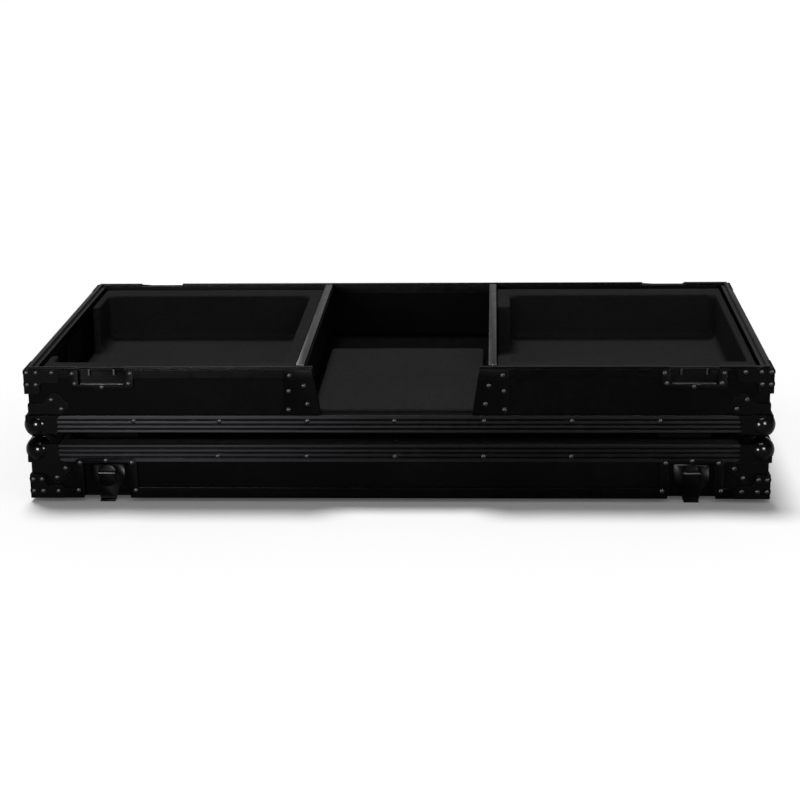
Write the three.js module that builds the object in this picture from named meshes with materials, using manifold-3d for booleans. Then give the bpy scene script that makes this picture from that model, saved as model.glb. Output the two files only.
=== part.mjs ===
// A coffin case: a shallow plywood tray with three bays, stood on its own turned-over lid.
// Millimetres, +Z up, front towards -Y, origin on the floor at mid width and mid depth. Heights
// named RISE are measured from the closed face of a tray towards its rim.
import * as THREE from "three";
import { mergeVertices } from "three/addons/utils/BufferGeometryUtils.js";
import Module from "manifold-3d";

const wasm = await Module();
wasm.setup();

// The two trays
const CASE_W = 1132; // over the rim, left to right
const CASE_D = 594; // over the rim, front to back
const BASE_H = 104; // closed face to rim
const LID_H = 87;
const PLY = 9; // plywood panels, dividers too
const FIT = 0.3; // running and seating clearance
const OVERRUN = 5; // how far a cutter passes what it cuts
const WELD = 1e-4; // vertices closer than this are one

// Extrusions
const LEG_T = 3.7; // wall of the edging and rim channels
const INSET = LEG_T + FIT; // how far the plywood lies behind the extrusions' face
const EDGE_LEG = 28.5; // width of each leg of the ribbed corner edging
const EDGE_ROUND = 2; // radius on its outer edge
const RIB_COUNT = 4; // ribs on each leg
const GROOVE_W = 1.8;
const GROOVE_SLOPE = 0.7;
const GROOVE_DEPTH = 0.8;
const RIM_H = 17; // legs of the rim channel
const RIM_WEB = 3; // its web over the plywood's edge
const TONGUE_H = 3; // ridge on the base's rim, and the groove for it in the lid's
const TONGUE_W = 5;
const TONGUE_INSET = 5; // outer face to tongue

// Ball corners
const BALL_R = 20.4;
const BALL_INSET = 13.5; // centre behind the side faces
const BALL_RISE = 11.65; // centre above the closed face
const BALL_FLAT = 0.4; // ground off the pole, so that stacked balls meet on flats
const BALL_PROUD = BALL_R - BALL_FLAT - BALL_RISE; // below the closed face
const BALL_SIDES = 20;
const BALL_RINGS = 12;
const CORNER_TRIM = 16; // from the ball's centre to the trimmed corner of the edging
const LEAF_T = 1.5;
const LEAF_NEAR = 46; // along the edges
const LEAF_WAIST = 25; // where the tongue of the leaf starts
const LEAF_FAR = 64; // reach of the tongue along each edge
const LEAF_TIP = 47; // its corner across the diagonal

// Brace plates at the rim's corners
const BRACE_PROUD = 1;
const BRACE_REACH = 54; // along the rim
const BRACE_GAP = 3; // leaf of the ball corner to the plate, on the shallower tray
const BRACE_STEP = 18; // how much higher the plate is at the corner
const BRACE_NARROW = 24; // width of the high part
const BRACE_BEVEL = 4;

// Front cut-out of the base, between the plates that stiffen it
const CUTOUT_TOP = 254; // width at the rim
const CUTOUT_BOTTOM = 230; // width at the edging
const STIFFENER_W = 44; // plate beside the cut-out, at the rim
const STIFFENER_T = 1.5;

// Dividers, their caps, foam
const DIVIDER_X = 146; // mid plane of each divider
const CAP_W = 12;
const CAP_H = 12;
const CAP_T = 1.2;
const CABLE_R = 26; // hole for leads in each divider, and half the passage to it in the foam
const CABLE_BACK = 197; // its centre from the back face
const FOAM_DROP = 8; // top of the foam below the rim
const FOAM_INSET = 18; // its outer faces behind the rim's outer face
const WELL_OUT = 32; // end face of the case to the well in each side bay's foam
const WELL_IN = 25; // cap of the divider to the well
const WELL_FRONT = 69; // front face of the case to the well
const WELL_BACK = 68;
const FOAM_SHEET = 6; // under the well
const FOAM_BLOCK_FRONT = 38; // corner blocks along the left of the well
const FOAM_BLOCK_BACK = 90;
const PAD_SIDE = 10.5; // divider to the foam block on the floor of the centre bay
const PAD_FRONT = 41; // front face of the case to the pad
const PAD_BACK = 173;
const PAD_TOP = 28; // above the closed face
const LINING_T = 8; // foam sheet inside the lid
const LINING_INSET = 24;

// Rubber feet
const FOOT_L = 82;
const FOOT_W = 20;
const FOOT_CLEAR = 25; // leaf of the ball corner to the foot
const FOOT_IN = 5; // outer face of the case to the foot
const FOOT_H = 8;
const FOOT_TAPER = 2;

// Twist latches on the lid and the keepers on the base. Heights are from the lid's rim.
const LATCH_CLEAR = 5; // leaf of the ball corner to the keeper
const DISH_W = 97;
const DISH_LOW = 4.6;
const DISH_LIP = 6; // flange above the pan
const DISH_CORNER = 9;
const SHEET = 1.2; // pressed steel
const PAN_W = 72; // over the pan's walls
const PAN_GAP = 0.5; // edging to the pan
const PAN_DEEP = 12.9; // face of the case to the back of the pan
const HUB_DOWN = 21; // top of the pan to the hub's centre
const HUB_R = 14.5;
const HUB_T = 2.8;
const CAM_R = 6;
const CAM_THROW = 4; // the hook travels twice this
const CAM_ROOM = 1; // in the hook's slot, over and under the cam
const SPINDLE_R = 1.9;
const HOOK_T = 1.8;
const HOOK_W = 54;
const HOOK_DOWN = 6; // top of the pan to the hook
const HOOK_SHOULDER = 25; // where it starts to narrow
const CLAW_NECK = 12;
const CLAW_W = 34; // at the neck
const CLAW_TIP = 23; // its width at the end
const CLAW_DROP = 6; // below the rim, drawn in
const CLAW_LIP = 3; // thickness of the lip
const CLAW_REACH = 9; // the lip, beyond the plate
const KEY_UP = 2; // hinge of the folding key above the hub's centre
const KEY_R = 19.2; // the key's end, about the hub's centre
const KEY_T = 2;
const KEY_SPREAD_DEG = 46; // half angle of the wings
const BARREL_R = 2;
const BARREL_L = 22;
const PIN_R = 1.2;
const EAR_T = 2.3;
const EAR_R = 2.6;
const KEEPER_W = 98;
const KEEPER_H = 32;
const KEEPER_POCKET_W = 73;
const KEEPER_POCKET_H = 23;
const CATCH_W = 34; // bar that the claw takes hold of
const CATCH_T = 2.5;
const CATCH_DEEP = 4.4; // face of the case to the bar
const CATCH_D = 3.2;

// Recessed drop handles in the ends of the base
const HANDLE_PLATE_W = 134;
const HANDLE_GAP = 1.25; // plate to the edging below it and to the rim above
const HANDLE_CORNER = 10;
const HANDLE_PAN_W = 106.4;
const HANDLE_LIP = 6.8; // plate over and under the pan
const HANDLE_PAN_DEEP = 17; // rim face to the back of the pan
const HANDLE_PIVOT_DOWN = 6.2; // top of the pan to the pivot
const GRIP_UP = 12.2; // bottom of the pan to the middle of the grip
const GRIP_R = 5.5;
const ARM_T = 3;
const ARM_R = 4;
const HANDLE_PIN_R = 2;

// Levels and lines that follow from the sizes above
const LID_BOTTOM = CLAW_DROP;
const LID_TOP = LID_BOTTOM + LID_H;
const BASE_BOTTOM = LID_TOP + 2 * BALL_PROUD;
const PANEL_X = CASE_W / 2 - INSET; // outer face of the end panels
const PANEL_Y = CASE_D / 2 - INSET;
const INNER_X = PANEL_X - PLY;
const INNER_Y = PANEL_Y - PLY;
const FLOOR_TOP = INSET + PLY;
const KEEPER_TOP = BASE_H - TONGUE_H; // level of the rim's shoulder
const RIM_DEEP = LEG_T + FIT + PLY + FIT + LEG_T; // outer face to inner face of the rim
const BRACE_HIGH = Math.min(KEEPER_TOP, LID_H) - LEAF_NEAR - BRACE_GAP; // height at the corner
const BRACE_LOW = BRACE_HIGH - BRACE_STEP;
const SHEET_TOP = FLOOR_TOP + FIT + FOAM_SHEET;
const FOAM_TOP = BASE_H - FOAM_DROP;
const CABLE_Y = CASE_D / 2 - CABLE_BACK;
const CABLE_RISE = (SHEET_TOP + FOAM_TOP) / 2;
const CAP_OUT = DIVIDER_X + CAP_W / 2; // the cap's face towards the side bay
const WELL_W = CASE_W / 2 - WELL_OUT - WELL_IN - CAP_OUT;
const WELL_D = CASE_D - WELL_FRONT - WELL_BACK;
const PAD_W = 2 * (DIVIDER_X - PLY / 2 - PAD_SIDE);
const PAD_D = CASE_D - PAD_FRONT - PAD_BACK;
const FOOT_X = CASE_W / 2 - LEAF_FAR - FOOT_CLEAR - FOOT_L / 2;
const LATCH_X = CASE_W / 2 - LEAF_FAR - LATCH_CLEAR - KEEPER_W / 2;
const PAN_TOP = LID_H - EDGE_LEG - PAN_GAP;
const DISH_HIGH = PAN_TOP + DISH_LIP;
const HUB_Z = PAN_TOP - HUB_DOWN;
const HOOK_TOP = PAN_TOP - HOOK_DOWN;
const KEY_Z = HUB_Z + KEY_UP;
const PAN_FLOOR = PAN_DEEP - SHEET; // face of the case to the pan's inside
const HOOK_BACK = PAN_FLOOR - FIT;
const HUB_BACK = HOOK_BACK - HOOK_T - FIT;
const HUB_FRONT = HUB_BACK - HUB_T;
const KEY_DEEP = HUB_FRONT - FIT - BARREL_R; // face of the case to the key's hinge
const HANDLE_MID = (EDGE_LEG + BASE_H - RIM_H) / 2;
const HANDLE_PLATE_H = BASE_H - RIM_H - EDGE_LEG - 2 * HANDLE_GAP;
const HANDLE_PAN_H = HANDLE_PLATE_H - 2 * HANDLE_LIP;
const HANDLE_PIVOT_UP = HANDLE_PAN_H / 2 - HANDLE_PIVOT_DOWN; // above the middle of the pan
const HANDLE_DROP = HANDLE_PAN_H - HANDLE_PIVOT_DOWN - GRIP_UP; // pivot to the middle of the grip
const HANDLE_PIVOT_DEEP = HANDLE_PAN_DEEP - SHEET - FIT - GRIP_R - FIT;
const ENDS = [["left", -1], ["right", 1]];
const SIDES = [["front", -1], ["back", 1]];

// Colours and finishes
const LAMINATE = { color: 0x0c0c0d, roughness: 0.45, metalness: 0 };
const BARE_PLY = { color: 0x141314, roughness: 0.7, metalness: 0 };
const ANODISED = { color: 0x141416, roughness: 0.35, metalness: 0.8 };
const BLACK_STEEL = { color: 0x121214, roughness: 0.3, metalness: 0.7 };
const GREY_METAL = { color: 0x4a4a4e, roughness: 0.4, metalness: 0.8 };
const FOAM = { color: 0x232325, roughness: 0.95, metalness: 0 };
const RUBBER = { color: 0x1c1c1c, roughness: 0.8, metalness: 0 };

// A closed geometry as a solid that can be joined and cut. Its places are rounded, so that faces
// that should lie in one plane do.
function solid(geometry) {
  const bare = geometry.clone();
  bare.deleteAttribute("normal");
  bare.deleteAttribute("uv");
  const merged = mergeVertices(bare, WELD);
  const vertProperties = merged.attributes.position.array.map((v) => Math.round(v / WELD) * WELD);
  const triVerts = new Uint32Array(merged.index.array);
  return new wasm.Manifold(new wasm.Mesh({ numProp: 3, vertProperties, triVerts }));
}

// A solid as a geometry again.
function geometryOf(body) {
  const { vertProperties, triVerts } = body.getMesh();
  const geometry = new THREE.BufferGeometry();
  geometry.setAttribute("position", new THREE.BufferAttribute(vertProperties, 3));
  geometry.setIndex(new THREE.BufferAttribute(triVerts, 1));
  geometry.computeVertexNormals();
  return geometry;
}

function cut(body, ...tools) {
  return tools.reduce((left, tool) => left.subtract(tool), body);
}

function join(first, ...others) {
  return others.reduce((sum, other) => sum.add(other), first);
}

// A block between two corners.
function block([x0, y0, z0], [x1, y1, z1]) {
  const geometry = new THREE.BoxGeometry(x1 - x0, y1 - y0, z1 - z0);
  return geometry.translate((x0 + x1) / 2, (y0 + y1) / 2, (z0 + z1) / 2);
}

function outline(points) {
  return new THREE.Shape(points.map(([x, y]) => new THREE.Vector2(x, y)));
}

// A rectangle with rounded corners, centred on x.
function roundedRect(width, low, high, radius) {
  const shape = new THREE.Shape();
  const right = width / 2 - radius;
  shape.absarc(right, low + radius, radius, -Math.PI / 2, 0, false);
  shape.absarc(right, high - radius, radius, 0, Math.PI / 2, false);
  shape.absarc(-right, high - radius, radius, Math.PI / 2, Math.PI, false);
  shape.absarc(-right, low + radius, radius, Math.PI, 1.5 * Math.PI, false);
  return shape;
}

// A geometry carried by a matrix, with its faces turned over if the matrix mirrors it.
function placed(geometry, matrix) {
  const bare = geometry.clone().deleteAttribute("normal").deleteAttribute("uv");
  const moved = mergeVertices(bare, WELD).applyMatrix4(matrix);
  if (matrix.determinant() < 0) {
    const index = moved.getIndex();
    for (let i = 0; i < index.count; i += 3) {
      const first = index.getX(i);
      index.setX(i, index.getX(i + 1));
      index.setX(i + 1, first);
    }
  }
  return moved;
}

// A flat outline drawn as seen from the front, from one depth behind the face to a shallower one.
// The face itself is the plane y = 0, and depth grows inwards, along +Y.
function sheetAt(shape, deep, shallow, curveSegments = 6) {
  const depth = deep - shallow;
  const geometry = new THREE.ExtrudeGeometry(shape, { depth, bevelEnabled: false, curveSegments });
  return geometry.rotateX(Math.PI / 2).translate(0, deep, 0);
}

// A round bar along X, Y or Z between two places on that axis.
function bar(axis, radius, from, to, sides = 12) {
  const geometry = new THREE.CylinderGeometry(radius, radius, to - from, sides);
  if (axis === "x") geometry.rotateZ(Math.PI / 2);
  if (axis === "z") geometry.rotateX(Math.PI / 2);
  const middle = (from + to) / 2;
  return geometry.translate(...["x", "y", "z"].map((name) => (name === axis ? middle : 0)));
}

// A profile swept round the case with mitred corners: a lathe of four flats, pulled apart
// lengthways. Profile points are [distance inside the outer face, rise].
function mitredRing(profile) {
  const toAxis = CASE_D / 2;
  const points = [...profile, profile[0]].map(
    ([inside, rise]) => new THREE.Vector2(Math.SQRT2 * (toAxis - inside), rise),
  );
  const ring = new THREE.LatheGeometry(points, 4, Math.PI / 4).rotateX(Math.PI / 2);
  const place = ring.getAttribute("position");
  const stretch = (CASE_W - CASE_D) / 2;
  for (let i = 0; i < place.count; i++) {
    place.setX(i, place.getX(i) + Math.sign(place.getX(i)) * stretch);
  }
  return ring;
}

// The outer side of one leg of the edging, with grooves between its ribs: [distance along, depth].
function ribbedSide() {
  const points = [];
  const pitch = EDGE_LEG / RIB_COUNT;
  for (let rib = 1; rib < RIB_COUNT; rib++) {
    const middle = rib * pitch;
    const half = GROOVE_W / 2;
    points.push([middle - half - GROOVE_SLOPE, 0]);
    points.push([middle - half, GROOVE_DEPTH]);
    points.push([middle + half, GROOVE_DEPTH]);
    points.push([middle + half + GROOVE_SLOPE, 0]);
  }
  return points;
}

// The L of the corner edging: one leg up the sides, the other over the closed face.
function edgingProfile() {
  const up = ribbedSide();
  const under = [...up].reverse();
  return [
    [EDGE_LEG, LEG_T],
    [EDGE_LEG, 0],
    ...under,
    [EDGE_ROUND, 0],
    [0, EDGE_ROUND],
    ...up.map(([along, deep]) => [deep, along]),
    [0, EDGE_LEG],
    [LEG_T, EDGE_LEG],
    [LEG_T, LEG_T],
  ];
}

// The channel over the plywood's edge. Its top carries the tongue, or has the groove for it.
function rimProfile(height, tongue) {
  const shoulder = height - (tongue ? TONGUE_H : 0);
  const crest = tongue ? height : height - TONGUE_H - FIT;
  const play = tongue ? 0 : FIT;
  const slotTop = shoulder - RIM_WEB - (tongue ? 0 : TONGUE_H + FIT);
  const low = height - RIM_H;
  return [
    [0, low],
    [0, shoulder],
    [TONGUE_INSET - play, shoulder],
    [TONGUE_INSET - play, crest],
    [TONGUE_INSET + TONGUE_W + play, crest],
    [TONGUE_INSET + TONGUE_W + play, shoulder],
    [RIM_DEEP, shoulder],
    [RIM_DEEP, low],
    [RIM_DEEP - LEG_T, low],
    [RIM_DEEP - LEG_T, slotTop],
    [LEG_T, slotTop],
    [LEG_T, low],
  ];
}

function plyTop(height, tongue) {
  return height - RIM_WEB - TONGUE_H - FIT - (tongue ? 0 : FIT);
}

// Calls back for each of the four corners with the signs of x and y.
function eachCorner(make) {
  return SIDES.flatMap(([side, sy]) => ENDS.map(([end, sx]) => make(`${side}_${end}`, sx, sy)));
}

// What is cut off the corners of the edging to make room inside the ball.
function cornerTrim(sx, sy, gap) {
  const out = new THREE.Vector3(sx * BALL_INSET, sy * BALL_INSET, -BALL_RISE).normalize();
  const size = 2 * BALL_R;
  const turn = new THREE.Quaternion().setFromUnitVectors(new THREE.Vector3(0, 0, 1), out);
  const centre = new THREE.Vector3(
    sx * (CASE_W / 2 - BALL_INSET),
    sy * (CASE_D / 2 - BALL_INSET),
    BALL_RISE,
  ).addScaledVector(out, CORNER_TRIM + gap + size / 2);
  const box = new THREE.BoxGeometry(size, size, size);
  return solid(box.applyQuaternion(turn).translate(centre.x, centre.y, centre.z));
}

// One leaf of a ball corner, laid out on axes a and b from the case's corner, with height
// measured outwards from the extrusions' face. It steps down on to the plywood past the edging.
function leaf(stepsBothWays) {
  const out = -FIT - LEAF_T;
  const shape = outline([
    [out, out],
    [LEAF_NEAR, out],
    [LEAF_TIP, LEAF_WAIST],
    [LEAF_FAR, LEAF_FAR - LEAF_WAIST],
    [LEAF_FAR, LEAF_TIP],
    [LEAF_TIP, LEAF_FAR],
    [LEAF_FAR - LEAF_WAIST, LEAF_FAR],
    [LEAF_WAIST, LEAF_TIP],
    [out, LEAF_NEAR],
  ]);
  const slab = (low, high) => {
    const depth = high - low;
    const sheet = new THREE.ExtrudeGeometry(shape, { depth, bevelEnabled: false });
    return solid(sheet.translate(0, 0, low));
  };
  const beyond = (edge, start) =>
    solid(block([start, edge, -INSET - OVERRUN], [CASE_D, CASE_D, OVERRUN]));
  const step = EDGE_LEG + FIT;
  const past = step + LEAF_T;
  const lowStart = stepsBothWays ? step : INSET - FIT - LEAF_T;
  const wallStart = stepsBothWays ? step : out;
  const highStart = stepsBothWays ? past : out - OVERRUN;
  const high = slab(FIT, FIT + LEAF_T).subtract(beyond(past, highStart));
  const low = slab(-LEG_T, LEAF_T - LEG_T).intersect(beyond(step, lowStart));
  const wall = slab(-LEG_T, FIT + LEAF_T)
    .intersect(beyond(step, wallStart))
    .subtract(beyond(past, highStart));
  const tip = block([-BALL_R, -BALL_R, -BALL_R], [BALL_RISE, BALL_RISE, BALL_R]);
  return geometryOf(join(high, low, wall).subtract(solid(tip)));
}

// The ball corner of the back right corner: a hollow ball over the trimmed edging, with three
// leaves. The other corners are its mirror images.
function ballCorner() {
  const corner = new THREE.Vector3(CASE_W / 2, CASE_D / 2, 0);
  const ball = new THREE.SphereGeometry(BALL_R, BALL_SIDES, BALL_RINGS).rotateX(Math.PI / 2);
  ball.translate(corner.x - BALL_INSET, corner.y - BALL_INSET, BALL_RISE);
  const inX = new THREE.Vector3(-1, 0, 0);
  const inY = new THREE.Vector3(0, -1, 0);
  const up = new THREE.Vector3(0, 0, 1);
  const ways = [
    [false, inX, up, inY.clone().negate()],
    [false, inY, up, inX.clone().negate()],
    [true, inX, inY, up.clone().negate()],
  ];
  const leaves = ways.map(([bothWays, a, b, out]) => {
    const matrix = new THREE.Matrix4().makeBasis(a, b, out).setPosition(corner);
    return solid(placed(leaf(bothWays), matrix));
  });
  const inside = block([0, 0, -FIT], [corner.x + FIT, corner.y + FIT, BASE_H]);
  const core = solid(inside).subtract(cornerTrim(1, 1, FIT));
  const flat = block([0, 0, -BASE_H], [CASE_W, CASE_D, -BALL_PROUD]);
  const shell = cut(solid(ball), core, solid(flat));
  return geometryOf(join(shell, ...leaves));
}

// The brace plates on both faces of the rim's back right corner, in one piece with the rim.
function braces(height) {
  const low = height - BRACE_LOW;
  const high = height - BRACE_HIGH;
  const shape = (half) => {
    const at = (inside) => half + BRACE_PROUD - inside;
    return outline([
      [at(0), high],
      [at(0), height],
      [at(BRACE_REACH), height],
      [at(BRACE_REACH), low + BRACE_BEVEL],
      [at(BRACE_REACH - BRACE_BEVEL), low],
      [at(BRACE_NARROW + BRACE_BEVEL), low],
      [at(BRACE_NARROW), low - BRACE_BEVEL],
      [at(BRACE_NARROW), high + BRACE_BEVEL],
      [at(BRACE_NARROW - BRACE_BEVEL), high],
    ]);
  };
  const options = { depth: BRACE_PROUD + LEG_T, bevelEnabled: false };
  const face = new THREE.ExtrudeGeometry(shape(CASE_W / 2), options).rotateX(Math.PI / 2);
  face.translate(0, CASE_D / 2 + BRACE_PROUD, 0);
  const turn = new THREE.Matrix4().makeBasis(
    new THREE.Vector3(0, 1, 0),
    new THREE.Vector3(0, 0, 1),
    new THREE.Vector3(1, 0, 0),
  );
  const end = placed(new THREE.ExtrudeGeometry(shape(CASE_D / 2), options), turn);
  return geometryOf(join(solid(face), solid(end.translate(CASE_W / 2 - LEG_T, 0, 0))));
}

function mesh(name, geometry, finish) {
  const material = new THREE.MeshStandardMaterial({ ...finish, flatShading: true });
  const made = new THREE.Mesh(geometry, material);
  made.name = name;
  return made;
}

// Four copies of a back right corner piece, mirrored to the other corners.
function mirrored(geometry) {
  return eachCorner((where, sx, sy) => placed(geometry, new THREE.Matrix4().makeScale(sx, sy, 1)));
}

// A piece drawn against the front face, set at a place along the front or the back of the case.
function onFace(geometry, x, sy) {
  const turned = geometry.clone().translate(0, -CASE_D / 2, 0);
  if (sy < 0) return turned.translate(x, 0, 0);
  return turned.rotateZ(Math.PI).translate(x, 0, 0);
}

// What a dish set into the front or back needs cut away, for each of the four dishes.
function dishCuts(width, low, high) {
  const hole = block([-width / 2, -OVERRUN, low], [width / 2, PAN_DEEP + FIT, high]);
  return eachCorner((where, sx, sy) => solid(onFace(hole, sx * LATCH_X, sy)));
}

// The trapezoid that is left out of the base's front, with room for the plates beside it.
function cutoutTool() {
  const slope = (CUTOUT_TOP - CUTOUT_BOTTOM) / 2 / (BASE_H - EDGE_LEG);
  const low = EDGE_LEG + FIT;
  const halfAt = (rise) => CUTOUT_TOP / 2 - slope * (BASE_H - rise);
  const shape = outline([
    [-halfAt(low), low],
    [halfAt(low), low],
    [halfAt(BASE_H + OVERRUN), BASE_H + OVERRUN],
    [-halfAt(BASE_H + OVERRUN), BASE_H + OVERRUN],
  ]);
  return solid(onFace(sheetAt(shape, RIM_DEEP + OVERRUN, -OVERRUN), 0, -1));
}

// The plywood of one tray. The front and back run the full width, the ends fit between them.
function panels(tray, height, tongue, cuts) {
  const top = plyTop(height, tongue);
  const floor = block(
    [FIT - INNER_X, FIT - INNER_Y, INSET],
    [INNER_X - FIT, INNER_Y - FIT, FLOOR_TOP],
  );
  const long = SIDES.map(([side, sy]) => {
    const [near, far] = sy < 0 ? [-PANEL_Y, -INNER_Y] : [INNER_Y, PANEL_Y];
    const whole = solid(block([-PANEL_X, near, INSET], [PANEL_X, far, top]));
    return mesh(`${tray}_${side}_panel`, geometryOf(cut(whole, ...cuts.long)), LAMINATE);
  });
  const short = ENDS.map(([end, sx]) => {
    const [near, far] = sx < 0 ? [-PANEL_X, -INNER_X] : [INNER_X, PANEL_X];
    const whole = solid(block([near, FIT - INNER_Y, INSET], [far, INNER_Y - FIT, top]));
    return mesh(`${tray}_${end}_panel`, geometryOf(cut(whole, ...cuts.short)), LAMINATE);
  });
  return [mesh(`${tray}_floor`, floor, BARE_PLY), ...long, ...short];
}

function edging(tray) {
  const ring = solid(mitredRing(edgingProfile()));
  const trims = eachCorner((where, sx, sy) => cornerTrim(sx, sy, 0));
  return mesh(`${tray}_edging`, geometryOf(cut(ring, ...trims)), ANODISED);
}

function rim(tray, height, tongue, cuts) {
  const ring = solid(mitredRing(rimProfile(height, tongue)));
  const plates = mirrored(braces(tongue ? height - TONGUE_H : height)).map(solid);
  return mesh(`${tray}_rim`, geometryOf(cut(join(ring, ...plates), ...cuts)), ANODISED);
}

function ballCorners(tray) {
  const copies = mirrored(ballCorner());
  return eachCorner((where) => `${tray}_ball_corner_${where}`).map((name, i) =>
    mesh(name, copies[i], BLACK_STEEL),
  );
}

// A divider between two bays, notched under the rim, with a hole for leads near the back.
function divider(end, sx) {
  const ledge = BASE_H - RIM_H - FIT;
  const top = BASE_H - CAP_T - FIT;
  const wide = INNER_Y - FIT;
  const narrow = CASE_D / 2 - RIM_DEEP - FIT;
  const shape = outline([
    [-wide, FLOOR_TOP + FIT],
    [wide, FLOOR_TOP + FIT],
    [wide, ledge],
    [narrow, ledge],
    [narrow, top],
    [-narrow, top],
    [-narrow, ledge],
    [-wide, ledge],
  ]);
  const hole = new THREE.Path();
  hole.absarc(CABLE_Y, CABLE_RISE, CABLE_R, 0, 2 * Math.PI, false);
  shape.holes.push(hole);
  const options = { depth: PLY, bevelEnabled: false, curveSegments: 10 };
  const plate = new THREE.ExtrudeGeometry(shape, options).rotateX(Math.PI / 2).rotateZ(Math.PI / 2);
  const made = mesh(`divider_${end}`, plate, BARE_PLY);
  made.position.x = sx * DIVIDER_X - PLY / 2;
  return made;
}

// The metal channel along a divider's top edge.
function dividerCap(end, sx) {
  const half = CAP_W / 2;
  const slot = PLY / 2 + FIT;
  const shape = outline([
    [-half, BASE_H - CAP_H],
    [-slot, BASE_H - CAP_H],
    [-slot, BASE_H - CAP_T],
    [slot, BASE_H - CAP_T],
    [slot, BASE_H - CAP_H],
    [half, BASE_H - CAP_H],
    [half, BASE_H],
    [-half, BASE_H],
  ]);
  const reach = CASE_D / 2 - RIM_DEEP - FIT;
  const made = mesh(`divider_cap_${end}`, sheetAt(shape, reach, -reach), GREY_METAL);
  made.position.x = sx * DIVIDER_X;
  return made;
}

// The foam of one side bay: a sheet on the floor and a wall round the well. On the well's left
// the wall is only two corner blocks, with a gap for leads between them.
function bayFoam(end, sx) {
  const reach = CASE_D / 2 - FOAM_INSET;
  const [left, right] = ordered(sx * (CAP_OUT + FIT), sx * (CASE_W / 2 - FOAM_INSET));
  const outer = CASE_W / 2 - WELL_OUT;
  const [wellLeft, wellRight] = ordered(sx * (outer - WELL_W), sx * outer);
  const front = WELL_FRONT - CASE_D / 2;
  const back = front + WELL_D;
  const body = solid(block([left, -reach, FLOOR_TOP + FIT], [right, reach, FOAM_TOP]));
  const well = block([wellLeft, front, SHEET_TOP], [wellRight, back, FOAM_TOP + OVERRUN]);
  const gap = block(
    [left - OVERRUN, front + FOAM_BLOCK_FRONT, SHEET_TOP],
    [wellLeft + OVERRUN, back - FOAM_BLOCK_BACK, FOAM_TOP + OVERRUN],
  );
  const [leadFrom, leadTo] = ordered(0, (sx * CASE_W) / 4);
  const lead = block(
    [leadFrom, CABLE_Y - CABLE_R, CABLE_RISE - CABLE_R],
    [leadTo, CABLE_Y + CABLE_R, CABLE_RISE + CABLE_R],
  );
  const holes = [well, gap, lead].map(solid);
  return mesh(`bay_foam_${end}`, geometryOf(cut(body, ...holes)), FOAM);
}

function ordered(a, b) {
  return a < b ? [a, b] : [b, a];
}

// The foam block on the floor of the centre bay.
function centrePad() {
  const front = PAD_FRONT - CASE_D / 2;
  const low = FLOOR_TOP + FIT;
  const pad = block([-PAD_W / 2, front, low], [PAD_W / 2, front + PAD_D, PAD_TOP]);
  return mesh("centre_pad", pad, FOAM);
}

// The foam sheet glued inside the lid's closed face.
function lidLining() {
  const [x, y] = [CASE_W / 2 - LINING_INSET, CASE_D / 2 - LINING_INSET];
  const low = FLOOR_TOP + FIT;
  return mesh("lid_lining", block([-x, -y, low], [x, y, low + LINING_T]), FOAM);
}

// A rubber foot, narrower where it meets the ground.
function foot(where, sx, sy) {
  const shape = outline([
    [-FOOT_L / 2, -FIT],
    [FOOT_TAPER - FOOT_L / 2, -FOOT_H],
    [FOOT_L / 2 - FOOT_TAPER, -FOOT_H],
    [FOOT_L / 2, -FIT],
  ]);
  const geometry = onFace(sheetAt(shape, FOOT_IN + FOOT_W, FOOT_IN), sx * FOOT_X, sy);
  return mesh(`foot_${where}`, geometry, RUBBER);
}

// The plate beside the front cut-out, stepped over the edge of the rim.
function stiffener(end, sx) {
  const slope = (CUTOUT_TOP - CUTOUT_BOTTOM) / 2 / (BASE_H - EDGE_LEG);
  const innerAt = (rise) => CUTOUT_TOP / 2 - slope * (BASE_H - rise) + FIT;
  const outer = CUTOUT_TOP / 2 + STIFFENER_W;
  const low = EDGE_LEG + FIT;
  const step = BASE_H - RIM_H - FIT;
  const piece = (from, to, deep, shallow) => {
    const shape = outline([
      [innerAt(from), from],
      [outer, from],
      [outer, to],
      [innerAt(to), to],
    ]);
    return solid(sheetAt(shape, deep, shallow));
  };
  const under = piece(low, step, LEG_T, LEG_T - STIFFENER_T);
  const wall = piece(step - STIFFENER_T, step, LEG_T, -FIT - STIFFENER_T);
  const over = piece(step - STIFFENER_T, KEEPER_TOP, -FIT, -FIT - STIFFENER_T);
  const right = onFace(geometryOf(join(under, wall, over)), 0, -1);
  const geometry = placed(right, new THREE.Matrix4().makeScale(sx, 1, 1));
  return mesh(`cutout_plate_${end}`, geometry, BLACK_STEEL);
}

// A keeper: a pressed plate over the rim with a pocket, and a bar across the pocket's mouth for
// the claw. Heights are from the base's rim downwards, so the outline is drawn below zero.
function keeper() {
  const flange = solid(
    sheetAt(roundedFoot(KEEPER_W, -KEEPER_H, 0, DISH_CORNER), -FIT, -FIT - SHEET),
  );
  const pan = solid(pocket(KEEPER_POCKET_W, -KEEPER_POCKET_H - SHEET, 0, 0));
  const room = solid(pocket(KEEPER_POCKET_W, -KEEPER_POCKET_H - SHEET, OVERRUN, SHEET));
  const catchBar = block(
    [-CATCH_W / 2, CATCH_DEEP, -CATCH_T],
    [CATCH_W / 2, CATCH_DEEP + CATCH_D, 0],
  );
  const ends = [-1, 1].map((side) => {
    const [from, to] = ordered((side * CATCH_W) / 2, side * (KEEPER_POCKET_W / 2 - SHEET / 2));
    return solid(block([from, CATCH_DEEP, -CATCH_T], [to, CATCH_DEEP + SHEET, 0]));
  });
  return geometryOf(join(cut(join(flange, pan), room), solid(catchBar), ...ends));
}

// A box shape for a pan that is open upwards, or for the room inside it.
function pocket(width, low, high, wall) {
  const half = width / 2 - wall;
  const front = wall ? -OVERRUN : -FIT;
  return block([-half, front, low + wall], [half, PAN_DEEP - wall, high]);
}

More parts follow.
